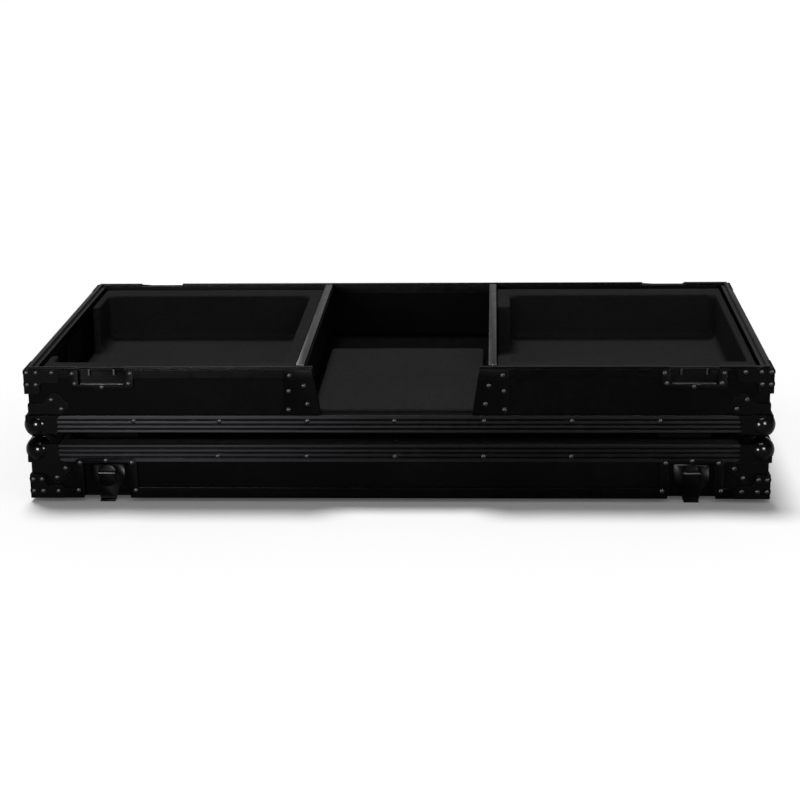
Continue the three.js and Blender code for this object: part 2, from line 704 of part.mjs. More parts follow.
// A rectangle with its two lower corners rounded.
function roundedFoot(width, low, high, radius) {
  const shape = new THREE.Shape();
  const right = width / 2 - radius;
  shape.absarc(-right, low + radius, radius, Math.PI, 1.5 * Math.PI, false);
  shape.absarc(right, low + radius, radius, -Math.PI / 2, 0, false);
  shape.lineTo(width / 2, high);
  shape.lineTo(-width / 2, high);
  return shape;
}

// The latch's dish: a flange over the edging and the rim, and a pan that is open at the rim.
function latchDish() {
  const outer = roundedRect(DISH_W, DISH_LOW, DISH_HIGH, DISH_CORNER);
  const flange = solid(sheetAt(outer, -FIT, -FIT - SHEET));
  const half = PAN_W / 2;
  const pan = solid(block([-half, -FIT, DISH_LOW], [half, PAN_DEEP, PAN_TOP]));
  const room = block(
    [SHEET - half, -OVERRUN, DISH_LOW - OVERRUN],
    [half - SHEET, PAN_FLOOR, PAN_TOP - SHEET],
  );
  const hole = bar("y", SPINDLE_R + FIT, 0, PAN_DEEP + OVERRUN).translate(0, 0, HUB_Z);
  return geometryOf(cut(join(flange, pan), solid(room), solid(hole)));
}

// The hook: a plate with a cross slot for the cam, narrowing to a claw that is turned outwards.
function latchHook() {
  const half = HOOK_W / 2;
  const [claw, tip] = [CLAW_W / 2, CLAW_TIP / 2];
  const shape = outline([
    [-half, HOOK_TOP],
    [-half, HOOK_SHOULDER],
    [-claw, CLAW_NECK],
    [-tip, -CLAW_DROP],
    [tip, -CLAW_DROP],
    [claw, CLAW_NECK],
    [half, HOOK_SHOULDER],
    [half, HOOK_TOP],
  ]);
  const middle = HUB_Z + CAM_THROW;
  const [wide, high] = [CAM_R + CAM_THROW + CAM_ROOM, CAM_R + CAM_ROOM];
  const slot = block(
    [-wide, 0, middle - high],
    [wide, PAN_DEEP, middle + high],
  );
  const lip = block(
    [-tip, HOOK_BACK - HOOK_T - CLAW_REACH, -CLAW_DROP],
    [tip, HOOK_BACK, CLAW_LIP - CLAW_DROP],
  );
  const plate = solid(sheetAt(shape, HOOK_BACK, HOOK_BACK - HOOK_T));
  return geometryOf(join(cut(plate, solid(slot)), solid(lip)));
}

// The hub: a disc with the hook's cam and its spindle behind, and two ears for the key in front.
function latchHub() {
  const disc = solid(bar("y", HUB_R, HUB_FRONT, HUB_BACK, 28).translate(0, 0, HUB_Z));
  const cam = solid(bar("y", CAM_R, HUB_FRONT, HOOK_BACK, 20).translate(0, 0, HUB_Z + CAM_THROW));
  const spindle = solid(bar("y", SPINDLE_R, HUB_FRONT, PAN_DEEP).translate(0, 0, HUB_Z));
  const ears = [-1, 1].map((side) => {
    const inner = BARREL_L / 2 + FIT;
    const [from, to] = ordered(side * inner, side * (inner + EAR_T));
    const round = bar("x", EAR_R, from, to).translate(0, KEY_DEEP, KEY_Z);
    const root = block([from, KEY_DEEP, KEY_Z - EAR_R], [to, HUB_FRONT + FIT, KEY_Z + EAR_R]);
    return join(solid(round), solid(root));
  });
  const hole = bar("x", PIN_R + FIT, -DISH_W, DISH_W).translate(0, KEY_DEEP, KEY_Z);
  return geometryOf(cut(join(disc, cam, spindle, ...ears), solid(hole)));
}

// The folding key, hanging from its barrel, with its end rounded about the hub's centre.
function latchKey() {
  const spread = THREE.MathUtils.degToRad(KEY_SPREAD_DEG);
  const shape = new THREE.Shape();
  shape.absarc(0, HUB_Z, KEY_R, 1.5 * Math.PI - spread, 1.5 * Math.PI + spread, false);
  shape.lineTo(BARREL_L / 2 - KEY_T, KEY_Z);
  shape.lineTo(KEY_T - BARREL_L / 2, KEY_Z);
  const wing = solid(sheetAt(shape, KEY_DEEP + KEY_T / 2, KEY_DEEP - KEY_T / 2, 10));
  const barrel = bar("x", BARREL_R, -BARREL_L / 2, BARREL_L / 2).translate(0, KEY_DEEP, KEY_Z);
  const reach = BARREL_L / 2 + FIT + EAR_T;
  const pin = bar("x", PIN_R, -reach, reach).translate(0, KEY_DEEP, KEY_Z);
  return geometryOf(join(wing, solid(barrel), solid(pin)));
}

// The handle's dish and its grip, drawn as seen from outside the end, with the middle of the pan
// at the origin and depth measured from the rim's face.
function handleDish() {
  const [half, rise] = [HANDLE_PAN_W / 2, HANDLE_PAN_H / 2];
  const [low, high] = [-HANDLE_PLATE_H / 2, HANDLE_PLATE_H / 2];
  const plate = roundedRect(HANDLE_PLATE_W, low, high, HANDLE_CORNER);
  const flange = solid(sheetAt(plate, LEG_T, LEG_T - SHEET));
  const pan = solid(block([-half, LEG_T - SHEET, -rise], [half, HANDLE_PAN_DEEP, rise]));
  const room = block(
    [SHEET - half, -OVERRUN, SHEET - rise],
    [half - SHEET, HANDLE_PAN_DEEP - SHEET, rise - SHEET],
  );
  const hole = bar("x", HANDLE_PIN_R + FIT, -half - OVERRUN, half + OVERRUN);
  hole.translate(0, HANDLE_PIVOT_DEEP, HANDLE_PIVOT_UP);
  return geometryOf(cut(join(flange, pan), solid(room), solid(hole)));
}

function handleGrip() {
  const inside = HANDLE_PAN_W / 2 - SHEET - ARM_T;
  const hang = HANDLE_PIVOT_UP - HANDLE_DROP;
  const grip = solid(bar("x", GRIP_R, -inside, inside, 14).translate(0, HANDLE_PIVOT_DEEP, hang));
  const arms = [-1, 1].map((side) => {
    const [from, to] = ordered(side * (inside - ARM_T), side * inside);
    const web = block(
      [from, HANDLE_PIVOT_DEEP - ARM_R, hang],
      [to, HANDLE_PIVOT_DEEP + ARM_R, HANDLE_PIVOT_UP],
    );
    const eye = bar("x", ARM_R, from, to).translate(0, HANDLE_PIVOT_DEEP, HANDLE_PIVOT_UP);
    return join(solid(web), solid(eye));
  });
  const reach = HANDLE_PAN_W / 2;
  const pin = bar("x", HANDLE_PIN_R, -reach, reach).translate(0, HANDLE_PIVOT_DEEP, HANDLE_PIVOT_UP);
  const gap = block(
    [ARM_T - inside, 0, HANDLE_PIVOT_UP - ARM_R],
    [inside - ARM_T, HANDLE_PAN_DEEP, HANDLE_PIVOT_UP + ARM_R],
  );
  return geometryOf(cut(join(grip, ...arms, solid(pin)), solid(gap)));
}

// A handle piece on its end of the case, at the handle's height.
function onEnd(geometry, sx) {
  const turned = geometry.clone().rotateZ((sx * Math.PI) / 2);
  return turned.translate((sx * CASE_W) / 2, 0, HANDLE_MID);
}

// What the handle's dish needs cut out of the end panels.
function handleCuts() {
  const [half, rise] = [HANDLE_PAN_W / 2 + FIT, HANDLE_PAN_H / 2 + FIT];
  const hole = block([-half, 0, -rise], [half, HANDLE_PAN_DEEP + OVERRUN, rise]);
  return ENDS.map(([end, sx]) => solid(onEnd(hole, sx)));
}

function base() {
  const group = new THREE.Group();
  const notch = KEEPER_POCKET_W + 2 * FIT;
  const low = KEEPER_TOP - KEEPER_POCKET_H - SHEET - FIT;
  const keeperCuts = dishCuts(notch, low, BASE_H + OVERRUN);
  const front = cutoutTool();
  group.add(...panels("base", BASE_H, true, { long: [...keeperCuts, front], short: handleCuts() }));
  group.add(edging("base"), rim("base", BASE_H, true, [...keeperCuts, front]));
  group.add(...ballCorners("base"));
  ENDS.forEach(([end, sx]) => {
    group.add(divider(end, sx), dividerCap(end, sx), bayFoam(end, sx), stiffener(end, sx));
    group.add(mesh(`handle_dish_${end}`, onEnd(handleDish(), sx), BLACK_STEEL));
    group.add(mesh(`handle_grip_${end}`, onEnd(handleGrip(), sx), RUBBER));
  });
  group.add(centrePad(), ...eachCorner(foot));
  const plate = keeper().translate(0, 0, KEEPER_TOP);
  eachCorner((where, sx, sy) => {
    group.add(mesh(`keeper_${where}`, onFace(plate, sx * LATCH_X, sy), BLACK_STEEL));
  });
  group.position.z = BASE_BOTTOM;
  return group;
}

// The lid's plywood, edging, rim and corners are drawn closed face down, as the base's are, and
// then mirrored to stand on the rim.
function lid() {
  const group = new THREE.Group();
  const width = PAN_W + 2 * FIT;
  const dishes = dishCuts(width, LID_H - PAN_TOP - FIT, LID_H + OVERRUN);
  group.add(...panels("lid", LID_H, false, { long: dishes, short: [] }));
  group.add(edging("lid"), rim("lid", LID_H, false, dishes), ...ballCorners("lid"), lidLining());
  const overturned = new THREE.Matrix4().makeScale(1, 1, -1);
  group.children.forEach((piece) => {
    piece.geometry = placed(piece.geometry, overturned);
  });
  group.position.z = LID_TOP;
  return group;
}

function latches() {
  const group = new THREE.Group();
  const pieces = { dish: latchDish(), hook: latchHook(), hub: latchHub(), key: latchKey() };
  eachCorner((where, sx, sy) => {
    Object.entries(pieces).forEach(([piece, geometry]) => {
      const finish = piece === "dish" ? BLACK_STEEL : GREY_METAL;
      group.add(mesh(`latch_${piece}_${where}`, onFace(geometry, sx * LATCH_X, sy), finish));
    });
  });
  group.position.z = LID_BOTTOM;
  return group;
}

const coffinCase = new THREE.Group();
coffinCase.add(lid(), latches(), base());

export default coffinCase;
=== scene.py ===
# %% [markdown]
# A coffin case is a plywood tray with three bays, whose edges are held by aluminium extrusions
# and whose corners are capped with pressed steel. Here it stands on its own turned-over lid.
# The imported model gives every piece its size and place, so this script starts by loading it.

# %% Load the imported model
import math

import bmesh
import bpy
from mathutils import Matrix, Vector, noise


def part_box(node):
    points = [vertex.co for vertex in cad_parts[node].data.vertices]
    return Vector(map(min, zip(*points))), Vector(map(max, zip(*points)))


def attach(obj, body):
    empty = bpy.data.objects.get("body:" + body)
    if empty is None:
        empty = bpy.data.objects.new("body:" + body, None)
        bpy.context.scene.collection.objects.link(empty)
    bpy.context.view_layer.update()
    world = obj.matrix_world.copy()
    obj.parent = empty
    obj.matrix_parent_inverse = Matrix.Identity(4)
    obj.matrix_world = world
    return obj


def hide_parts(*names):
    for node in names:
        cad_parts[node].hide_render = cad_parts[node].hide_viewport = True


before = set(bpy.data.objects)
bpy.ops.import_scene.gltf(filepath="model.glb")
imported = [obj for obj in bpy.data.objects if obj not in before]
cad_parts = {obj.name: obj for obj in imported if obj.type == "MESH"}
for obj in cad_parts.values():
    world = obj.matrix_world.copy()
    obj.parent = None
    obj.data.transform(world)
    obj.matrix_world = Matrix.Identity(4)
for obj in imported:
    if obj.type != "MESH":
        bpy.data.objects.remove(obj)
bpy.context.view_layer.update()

# %% [markdown]
# The camera comes first, because everything after it is judged through it. Its place and turn
# were worked out from the rims and ball corners in the photograph, which is square.

# %% Camera
CAMERA_PLACE = (0.1491, -3.1786, 0.9832)
CAMERA_YAW = math.radians(2.84)
CAMERA_PITCH = math.radians(15.87)
CAMERA_ROLL = math.radians(-0.80)
CAMERA_LENS = 89.27  # millimetres on a sensor 36 mm wide


def in_scene(name, data):
    """A new object, linked to the scene."""
    thing = bpy.data.objects.new(name, data)
    bpy.context.scene.collection.objects.link(thing)
    return thing


camera = in_scene("camera", bpy.data.cameras.new("camera"))
camera.data.lens = CAMERA_LENS
camera.data.sensor_width = 36
camera.data.clip_end = 200
camera.matrix_world = (
    Matrix.Translation(CAMERA_PLACE)
    @ Matrix.Rotation(CAMERA_YAW, 4, "Z")
    @ Matrix.Rotation(math.pi / 2 - CAMERA_PITCH, 4, "X")
    @ Matrix.Rotation(CAMERA_ROLL, 4, "Z")
)
bpy.context.scene.camera = camera

# %% [markdown]
# Lengths of such hardware are quoted in millimetres, so each one is written as a number times
# MM. The outer faces of the two trays are read from the model; the sizes of the extrusions and
# the fittings are the same ones that the model was built with.

# %% Sizes that many pieces share
MM = 0.001
FIT = 0.3 * MM  # clearance between pieces that touch
WELD = 0.002 * MM
LEG_T = 3.7 * MM  # wall of the extrusions
INSET = LEG_T + FIT  # plywood behind the extrusions' face
EDGE_LEG = 28.5 * MM
SHEET = 1.2 * MM  # pressed steel of latches, keepers and handles

base_low, base_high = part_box("base_edging")
lid_low, lid_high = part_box("lid_edging")
HALF_W = base_high.x
HALF_D = base_high.y
BASE_BOTTOM = base_low.z
LID_TOP = lid_high.z
BASE_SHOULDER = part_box("keeper_front_left")[1].z
LID_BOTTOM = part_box("lid_rim")[0].z
LATCH_X = sum(corner.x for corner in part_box("latch_hub_front_right")) / 2
print("half width", round(HALF_W, 4), "half depth", round(HALF_D, 4), "latch", round(LATCH_X, 4))

ENDS = {"left": -1, "right": 1}
SIDES = {"front": -1, "back": 1}
CORNERS = {f"{side}_{end}": (ENDS[end], SIDES[side]) for side in SIDES for end in ENDS}
TRAYS = {"base": (BASE_BOTTOM, 1), "lid": (LID_TOP, -1)}

# %% [markdown]
# Nothing on a flight case is one flat colour. Handling rubs the coating off the edges, dust
# settles in patches, and each finish has a grain of its own. An effect that several finishes
# share is a node group with its own inputs and outputs, so it is built once and tuned in each
# material. These few lines make a group and wire its nodes.

# %% Helpers for node trees


def new_group(name, inputs, outputs):
    """A shader node group with float sockets, and its input and output nodes."""
    group = bpy.data.node_groups.new(name, "ShaderNodeTree")
    for socket, value in inputs.items():
        made = group.interface.new_socket(socket, in_out="INPUT", socket_type="NodeSocketFloat")
        made.default_value = value
    for socket, kind in outputs.items():
        group.interface.new_socket(socket, in_out="OUTPUT", socket_type=kind)
    return group, group.nodes.new("NodeGroupInput"), group.nodes.new("NodeGroupOutput")


def add(tree, kind, settings=None, **inputs):
    """A node in a tree. Settings are its own, and inputs are values or sockets to link from."""
    node = tree.nodes.new("ShaderNode" + kind)
    for name, value in (settings or {}).items():
        setattr(node, name, value)
    for name, value in inputs.items():
        number = name.removeprefix("in")
        socket = node.inputs[int(number) if number.isdigit() else name.replace("_", " ")]
        if isinstance(value, bpy.types.NodeSocket):
            tree.links.new(value, socket)
        else:
            socket.default_value = value
    return node


def math_node(tree, operation, *values):
    """The result of one arithmetic step."""
    inputs = {f"in{i}": value for i, value in enumerate(values)}
    return add(tree, "Math", {"operation": operation, "use_clamp": False}, **inputs).outputs[0]


def spread(tree, value, low, high):
    """A value stretched so that low becomes 0 and high becomes 1, and held between them."""
    node = add(tree, "MapRange", {"clamp": True}, Value=value, From_Min=low, From_Max=high)
    return node.outputs["Result"]


# %% [markdown]
# Worn edges. The Bevel node gives the normal that a rounded edge would have. Where that differs
# from the real normal there is an edge, and a coarse noise breaks the mask up, because wear
# comes in knocks and not in an even line.

# %% Group: edge wear
EDGE_FROM, EDGE_TO = 0.97, 0.82  # cosine between the real normal and the rounded one
KNOCKS_SCALE = 85.0


def edge_wear_group():
    group, given, result = new_group(
        "edge wear", {"Radius": 1.2 * MM, "Amount": 0.5}, {"Mask": "NodeSocketFloat"}
    )
    facing = add(group, "NewGeometry").outputs["Normal"]
    rounded = add(group, "Bevel", {"samples": 4}, Radius=given.outputs["Radius"]).outputs[0]
    same = add(group, "VectorMath", {"operation": "DOT_PRODUCT"}, in0=facing, in1=rounded)
    edge = spread(group, same.outputs["Value"], EDGE_FROM, EDGE_TO)
    place = add(group, "TexCoord").outputs["Object"]
    knocks = add(group, "TexNoise", Vector=place, Scale=KNOCKS_SCALE, Detail=4.0, Roughness=0.62)
    broken = spread(group, knocks.outputs["Fac"], 0.46, 0.66)
    worn = math_node(group, "MULTIPLY", edge, broken)
    mask = math_node(group, "MULTIPLY", worn, given.outputs["Amount"])
    group.links.new(mask, result.inputs["Mask"])
    return group


EDGE_WEAR = edge_wear_group()
print("edge wear group:", len(EDGE_WEAR.nodes), "nodes")

# %% [markdown]
# Dust and hand marks are broad, soft patches that dull a black surface. Two noises of very
# different size, multiplied, look less regular than one.

# %% Group: dull patches
SPECKS_FINER = 14.0  # than the broad patches


def patches_group():
    group, given, result = new_group("dull patches", {"Scale": 6.0}, {"Mask": "NodeSocketFloat"})
    place = add(group, "TexCoord").outputs["Object"]
    broad = add(group, "TexNoise", Vector=place, Scale=given.outputs["Scale"], Detail=3.0)
    finer = math_node(group, "MULTIPLY", given.outputs["Scale"], SPECKS_FINER)
    specks = add(group, "TexNoise", Vector=place, Scale=finer, Detail=5.0, Roughness=0.7)
    mask = math_node(
        group,
        "MULTIPLY",
        spread(group, broad.outputs["Fac"], 0.38, 0.68),
        spread(group, specks.outputs["Fac"], 0.35, 0.75),
    )
    group.links.new(mask, result.inputs["Mask"])
    return group


PATCHES = patches_group()
print("dull patches group:", len(PATCHES.nodes), "nodes")

# %% [markdown]
# The laminate on the plywood is stippled, and powder coat has an orange-peel skin. Both are
# small rounded cells with a little noise over them, at two scales, so one group serves both.

# %% Group: stipple


def stipple_group():
    group, given, result = new_group("stipple", {"Scale": 900.0}, {"Height": "NodeSocketFloat"})
    place = add(group, "TexCoord").outputs["Object"]
    cells = add(
        group, "TexVoronoi", {"feature": "SMOOTH_F1"}, Vector=place, Scale=given.outputs["Scale"]
    )
    grain = add(group, "TexNoise", Vector=place, Scale=given.outputs["Scale"], Detail=2.0)
    height = math_node(group, "ADD", cells.outputs["Distance"], grain.outputs["Fac"])
    group.links.new(height, result.inputs["Height"])
    return group


STIPPLE = stipple_group()
print("stipple group:", len(STIPPLE.nodes), "nodes")

# %% [markdown]
# An extrusion is drawn through a die, which leaves fine lines along its length. The lengths at
# the front and back run along X and those at the ends run along Y, so a position test chooses
# between two stretched noises.

# %% Group: die lines
DRAWN_OUT = 0.004  # how much slower the noise changes along an extrusion than across it


def on_ends(tree, place):
    """1 on the lengths at the ends of the case, and 0 on those at the front and back."""
    outward = math_node(tree, "ABSOLUTE", add(tree, "SeparateXYZ", Vector=place).outputs["X"])
    return math_node(tree, "GREATER_THAN", outward, HALF_W - EDGE_LEG)


def die_lines_group():
    outputs = {name: "NodeSocketFloat" for name in ("Height", "Streak")}
    group, given, result = new_group("die lines", {"Fineness": 1500.0}, outputs)
    place = add(group, "TexCoord").outputs["Object"]
    along = {}
    for axis, (x, y) in {"x": (DRAWN_OUT, 1.0), "y": (1.0, DRAWN_OUT)}.items():
        drawn = add(group, "Mapping", {"vector_type": "POINT"}, Vector=place, Scale=(x, y, 1.0))
        lines = add(
            group, "TexNoise", Vector=drawn.outputs[0], Scale=given.outputs["Fineness"], Detail=1.0
        )
        along[axis] = lines.outputs["Fac"]
    chosen = add(group, "Mix", {"data_type": "FLOAT"}, Factor=on_ends(group, place),
                 in2=along["x"], in3=along["y"])
    group.links.new(chosen.outputs[0], result.inputs["Height"])
    streak = spread(group, chosen.outputs[0], 0.3, 0.75)
    group.links.new(streak, result.inputs["Streak"])
    return group


DIE_LINES = die_lines_group()
print("die lines group:", len(DIE_LINES.nodes), "nodes")

# %% [markdown]
# Packing foam is made of open cells about a millimetre across. Seen close, each cell is a pit
# between walls, and the pits take painted shade; from further off that only makes it matt and
# mottled.

# %% Group: open cells
BEND_SCALE = 120.0
BEND_REACH = 1.5 * MM  # how far the noise pushes the cells out of line


def open_cells_group():
    group, given, result = new_group(
        "open cells", {"Cells": 750.0}, {"Height": "NodeSocketFloat", "Pit shade": "NodeSocketFloat"}
    )
    place = add(group, "TexCoord").outputs["Object"]
    bend = add(group, "TexNoise", Vector=place, Scale=BEND_SCALE, Detail=2.0).outputs["Color"]
    wander = add(group, "VectorMath", {"operation": "SCALE"}, in0=bend, Scale=BEND_REACH)
    bent = add(group, "VectorMath", {"operation": "ADD"}, in0=place, in1=wander.outputs[0])
    cells = add(group, "TexVoronoi", Vector=bent.outputs[0], Scale=given.outputs["Cells"])
    # the middle of each cell takes painted shade
    pit_shade = spread(group, cells.outputs["Distance"], 0.55, 0.15)
    group.links.new(cells.outputs["Distance"], result.inputs["Height"])
    group.links.new(pit_shade, result.inputs["Pit shade"])
    return group


OPEN_CELLS = open_cells_group()
print("open cells group:", len(OPEN_CELLS.nodes), "nodes")

# %% [markdown]
# Each finish is one Principled shader. A value that is the same all over is set on the shader's
# own socket; a colour or roughness that varies is a mix between two values by a mask, and relief
# is the height of a Bump node.

# %% Helpers for finishes


def new_finish(name, colour, roughness, metallic=0.0, specular=0.5):
    """A material, its node tree and its shader, with plain values set."""
    material = bpy.data.materials.new(name)
    material.use_nodes = True
    shader = material.node_tree.nodes["Principled BSDF"]
    shader.inputs["Base Color"].default_value = (*colour, 1)
    shader.inputs["Roughness"].default_value = roughness
    shader.inputs["Metallic"].default_value = metallic
    shader.inputs["Specular IOR Level"].default_value = specular
    return material, material.node_tree, shader


def effect(tree, group, **values):
    """One of the shared groups, placed in a material."""
    node = tree.nodes.new("ShaderNodeGroup")
    node.node_tree = group
    for name, value in values.items():
        node.inputs[name].default_value = value
    return node


def mixed_colour(tree, mask, plain, changed):
    """A colour that goes from one to the other with a mask."""
    node = tree.nodes.new("ShaderNodeMix")
    node.data_type = "RGBA"
    tree.links.new(mask, node.inputs[0])
    for socket, colour in ((node.inputs[6], plain), (node.inputs[7], changed)):
        if isinstance(colour, bpy.types.NodeSocket):
            tree.links.new(colour, socket)
        else:
            socket.default_value = (*colour, 1)
    return node.outputs[2]


def mixed_value(tree, mask, plain, changed):
    """A number that goes from one to the other with a mask."""
    node = add(tree, "MapRange", Value=mask, To_Min=plain, To_Max=changed)
    return node.outputs["Result"]


def relief(tree, shader, height, depth, strength):
    """Bumps the shader's normal by a height, in metres."""
    bump = add(tree, "Bump", Height=height, Distance=depth, Strength=strength)
    tree.links.new(bump.outputs["Normal"], shader.inputs["Normal"])


# %% [markdown]
# The plywood is faced with black laminate: a hard, fine stipple that hides knocks. It is nearly
# black with a faint sheen, and dust makes broad patches of it slightly greyer and duller.

# %% Finish: laminate
MATT_SHEEN = 0.004


def laminate_finish(name, colour, dusty):
    smooth, rough = 0.40, 0.62
    material, tree, shader = new_finish(name, colour, smooth, specular=MATT_SHEEN)
    dull = effect(tree, PATCHES, Scale=5.0).outputs["Mask"]
    tree.links.new(mixed_colour(tree, dull, colour, dusty), shader.inputs["Base Color"])
    tree.links.new(mixed_value(tree, dull, smooth, rough), shader.inputs["Roughness"])
    grain = effect(tree, STIPPLE, Scale=1100.0).outputs["Height"]
    relief(tree, shader, grain, depth=0.12 * MM, strength=0.5)
    return material


LAMINATE = laminate_finish("black_laminate", (0.0019, 0.0019, 0.0021), (0.0038, 0.0037, 0.0036))
DIVIDER = laminate_finish("divider_board", (0.0040, 0.0040, 0.0043), (0.0075, 0.0074, 0.0073))

# %% [markdown]
# The extrusions are anodised black. The oxide is as dark as the laminate but it is metal, so it
# catches the lamps. Its edge tint keeps it dark where it is seen at a glancing angle. On the
# edging the tone follows an attribute of the mesh that paints light and shade: the tops of the
# ribs are lighter, the grooves between them take painted shade, and the closed faces and the
# lid's sides are painted darker, as shade. The die lines also scatter light across the ribs more
# than along them, so a lamp makes each rib shine over a part of its length. Where edges are
# rubbed the aluminium shows grey.

# %% Finish: black anodised extrusion
RIB_PAINTED_LIGHT = "rib_painted_light"  # the attribute of painted light: 1 on top of a rib, 0 down in a groove, which is painted shade
GROOVE_PAINTED_SHADE = (0.0006, 0.0006, 0.0007)
RIB_TONE = (0.0030, 0.0030, 0.0032)
RIB_DRAWN = (0.0046, 0.0046, 0.0048)
RIB_SPREAD = 0.63  # how much more a rib scatters light across its length than along it
EDGE_TINT = (0.56, 0.56, 0.56, 1)


def extrusion_finish(name, ribbed):
    black, drawn, rubbed = (0.0011, 0.0011, 0.0012), (0.0017, 0.0017, 0.0018), (0.05, 0.05, 0.052)
    smooth, rough = (0.42, 0.54) if ribbed else (0.28, 0.42)
    material, tree, shader = new_finish(name, black, smooth, metallic=1.0)
    shader.inputs["Specular Tint"].default_value = EDGE_TINT
    lines = effect(tree, DIE_LINES)
    worn = effect(tree, EDGE_WEAR, Radius=0.8 * MM, Amount=0.3).outputs["Mask"]
    dull = effect(tree, PATCHES, Scale=4.0).outputs["Mask"]
    tone = mixed_colour(tree, lines.outputs["Streak"], black, drawn)
    if ribbed:
        top = add(tree, "Attribute", {"attribute_name": RIB_PAINTED_LIGHT}).outputs["Fac"]
        lit_rib_tone = mixed_colour(tree, lines.outputs["Streak"], RIB_TONE, RIB_DRAWN)
        # painted light and shade: the attribute mixes the lit rib tone with the grooves' painted
        # shade
        tone = mixed_colour(tree, top, GROOVE_PAINTED_SHADE, lit_rib_tone)
        at_end = on_ends(tree, add(tree, "TexCoord").outputs["Object"])
        way = add(tree, "CombineXYZ", X=at_end, Y=math_node(tree, "SUBTRACT", 1.0, at_end), Z=1.0)
        across = add(tree, "VectorTransform",
                     {"vector_type": "VECTOR", "convert_from": "OBJECT", "convert_to": "WORLD"},
                     Vector=way.outputs[0])
        tree.links.new(across.outputs[0], shader.inputs["Tangent"])
        shader.inputs["Anisotropic"].default_value = RIB_SPREAD
    tree.links.new(mixed_colour(tree, worn, tone, rubbed), shader.inputs["Base Color"])
    tree.links.new(mixed_value(tree, dull, smooth, rough), shader.inputs["Roughness"])
    relief(tree, shader, lines.outputs["Height"], depth=0.05 * MM, strength=0.35)
    return material


EXTRUSION = extrusion_finish("black_anodised", ribbed=False)
RIBBED = extrusion_finish("ribbed_anodised", ribbed=True)

# %% [markdown]
# Keepers, plates, dishes and the leaves of the ball corners are pressed steel under black powder
# coat, which chips at the edges. The balls are polished to a shine: they stay black and carry
# sharp highlights, so the same function makes them with other values.

# %% Finish: powder-coated steel
CHIPPED = (0.14, 0.14, 0.14)  # the steel that a chip bares
CHIP_METAL = 0.85
DUST_PALER = 1.5
DUST_ROUGHER = 0.16


def coated_finish(name, colour, sheen, roughness, peel, chips):
    material, tree, shader = new_finish(name, colour, roughness, specular=sheen)
    worn = effect(tree, EDGE_WEAR, Radius=0.9 * MM, Amount=chips).outputs["Mask"]
    dull = effect(tree, PATCHES, Scale=9.0).outputs["Mask"]
    rougher = roughness + DUST_ROUGHER
    tone = mixed_colour(tree, dull, colour, tuple(DUST_PALER * part for part in colour))
    tree.links.new(mixed_colour(tree, worn, tone, CHIPPED), shader.inputs["Base Color"])
    tree.links.new(mixed_value(tree, worn, 0.0, CHIP_METAL), shader.inputs["Metallic"])
    tree.links.new(mixed_value(tree, dull, roughness, rougher), shader.inputs["Roughness"])
    skin = effect(tree, STIPPLE, Scale=420.0).outputs["Height"]
    relief(tree, shader, skin, depth=peel, strength=0.4)
    return material


HARDWARE = coated_finish("black_powder_coat", (0.0017, 0.0017, 0.0018), sheen=0.008,
                         roughness=0.40, peel=0.08 * MM, chips=0.3)
BALL_STEEL = coated_finish("polished_black_coat", (0.0010, 0.0010, 0.0011), sheen=0.05,
                           roughness=0.14, peel=0.02 * MM, chips=0.15)

# %% [markdown]
# The moving parts of a latch are plated, not coated, so they slide. Plating wears to bare steel
# on every edge. Rivet heads are the same metal, hammered, and what the latches rub is bare, its
# paleness partly wear and partly a painted highlight.

# %% Finish: plated steel
TARNISH_ROUGHER = 0.2


def plated_finish(name, colour, worn_colour, roughness, wear):
    material, tree, shader = new_finish(name, colour, roughness, metallic=1.0)
    shader.inputs["Specular Tint"].default_value = EDGE_TINT
    worn = effect(tree, EDGE_WEAR, Radius=0.7 * MM, Amount=wear).outputs["Mask"]
    dull = effect(tree, PATCHES, Scale=22.0).outputs["Mask"]
    tree.links.new(mixed_colour(tree, worn, colour, worn_colour), shader.inputs["Base Color"])
    rougher = roughness + TARNISH_ROUGHER
    tree.links.new(mixed_value(tree, dull, roughness, rougher), shader.inputs["Roughness"])
    skin = effect(tree, STIPPLE, Scale=650.0).outputs["Height"]
    relief(tree, shader, skin, depth=0.03 * MM, strength=0.35)
    return material


LATCH_STEEL = plated_finish("plated_steel", (0.0018, 0.0018, 0.0019), (0.02, 0.02, 0.02),
                            roughness=0.32, wear=0.5)
RIVET_STEEL = plated_finish("rivet_steel", (0.008, 0.008, 0.0083), (0.08, 0.08, 0.08),
                            roughness=0.40, wear=0.3)
# the floors of the keepers: bare steel, partly a painted highlight
BARE_STEEL_AND_HIGHLIGHT = plated_finish("bare_steel_and_highlight", (0.055, 0.055, 0.057), (0.12, 0.12, 0.12),
                           roughness=0.42, wear=0.3)
CAP_METAL = plated_finish("grey_anodised", (0.024, 0.024, 0.025), (0.10, 0.10, 0.10),
                          roughness=0.36, wear=0.4)

# %% [markdown]
# The foam is charcoal and swallows light: it has no sheen at all. The pits of its cells take
# painted shade, darker than their walls, and dust collects on it in patches.

# %% Finish: foam


def foam_finish():
    wall, pit_shade, dusty = (0.0200, 0.0200, 0.0208), (0.0080, 0.0080, 0.0084), (0.0265, 0.0262, 0.0258)
    material, tree, shader = new_finish("charcoal_foam", wall, 0.95, specular=0.0)
    cells = effect(tree, OPEN_CELLS)
    dull = effect(tree, PATCHES, Scale=7.0).outputs["Mask"]
    body = mixed_colour(tree, dull, wall, dusty)
    # the pits of the cells are painted darker, as painted shade
    tone = mixed_colour(tree, cells.outputs["Pit shade"], body, pit_shade)
    tree.links.new(tone, shader.inputs["Base Color"])
    relief(tree, shader, cells.outputs["Height"], depth=0.5 * MM, strength=0.8)
    return material


FOAM = foam_finish()

# %% [markdown]
# Feet and grips are moulded rubber: matt, slightly grey, with a fine skin from the mould.

# %% Finish: rubber


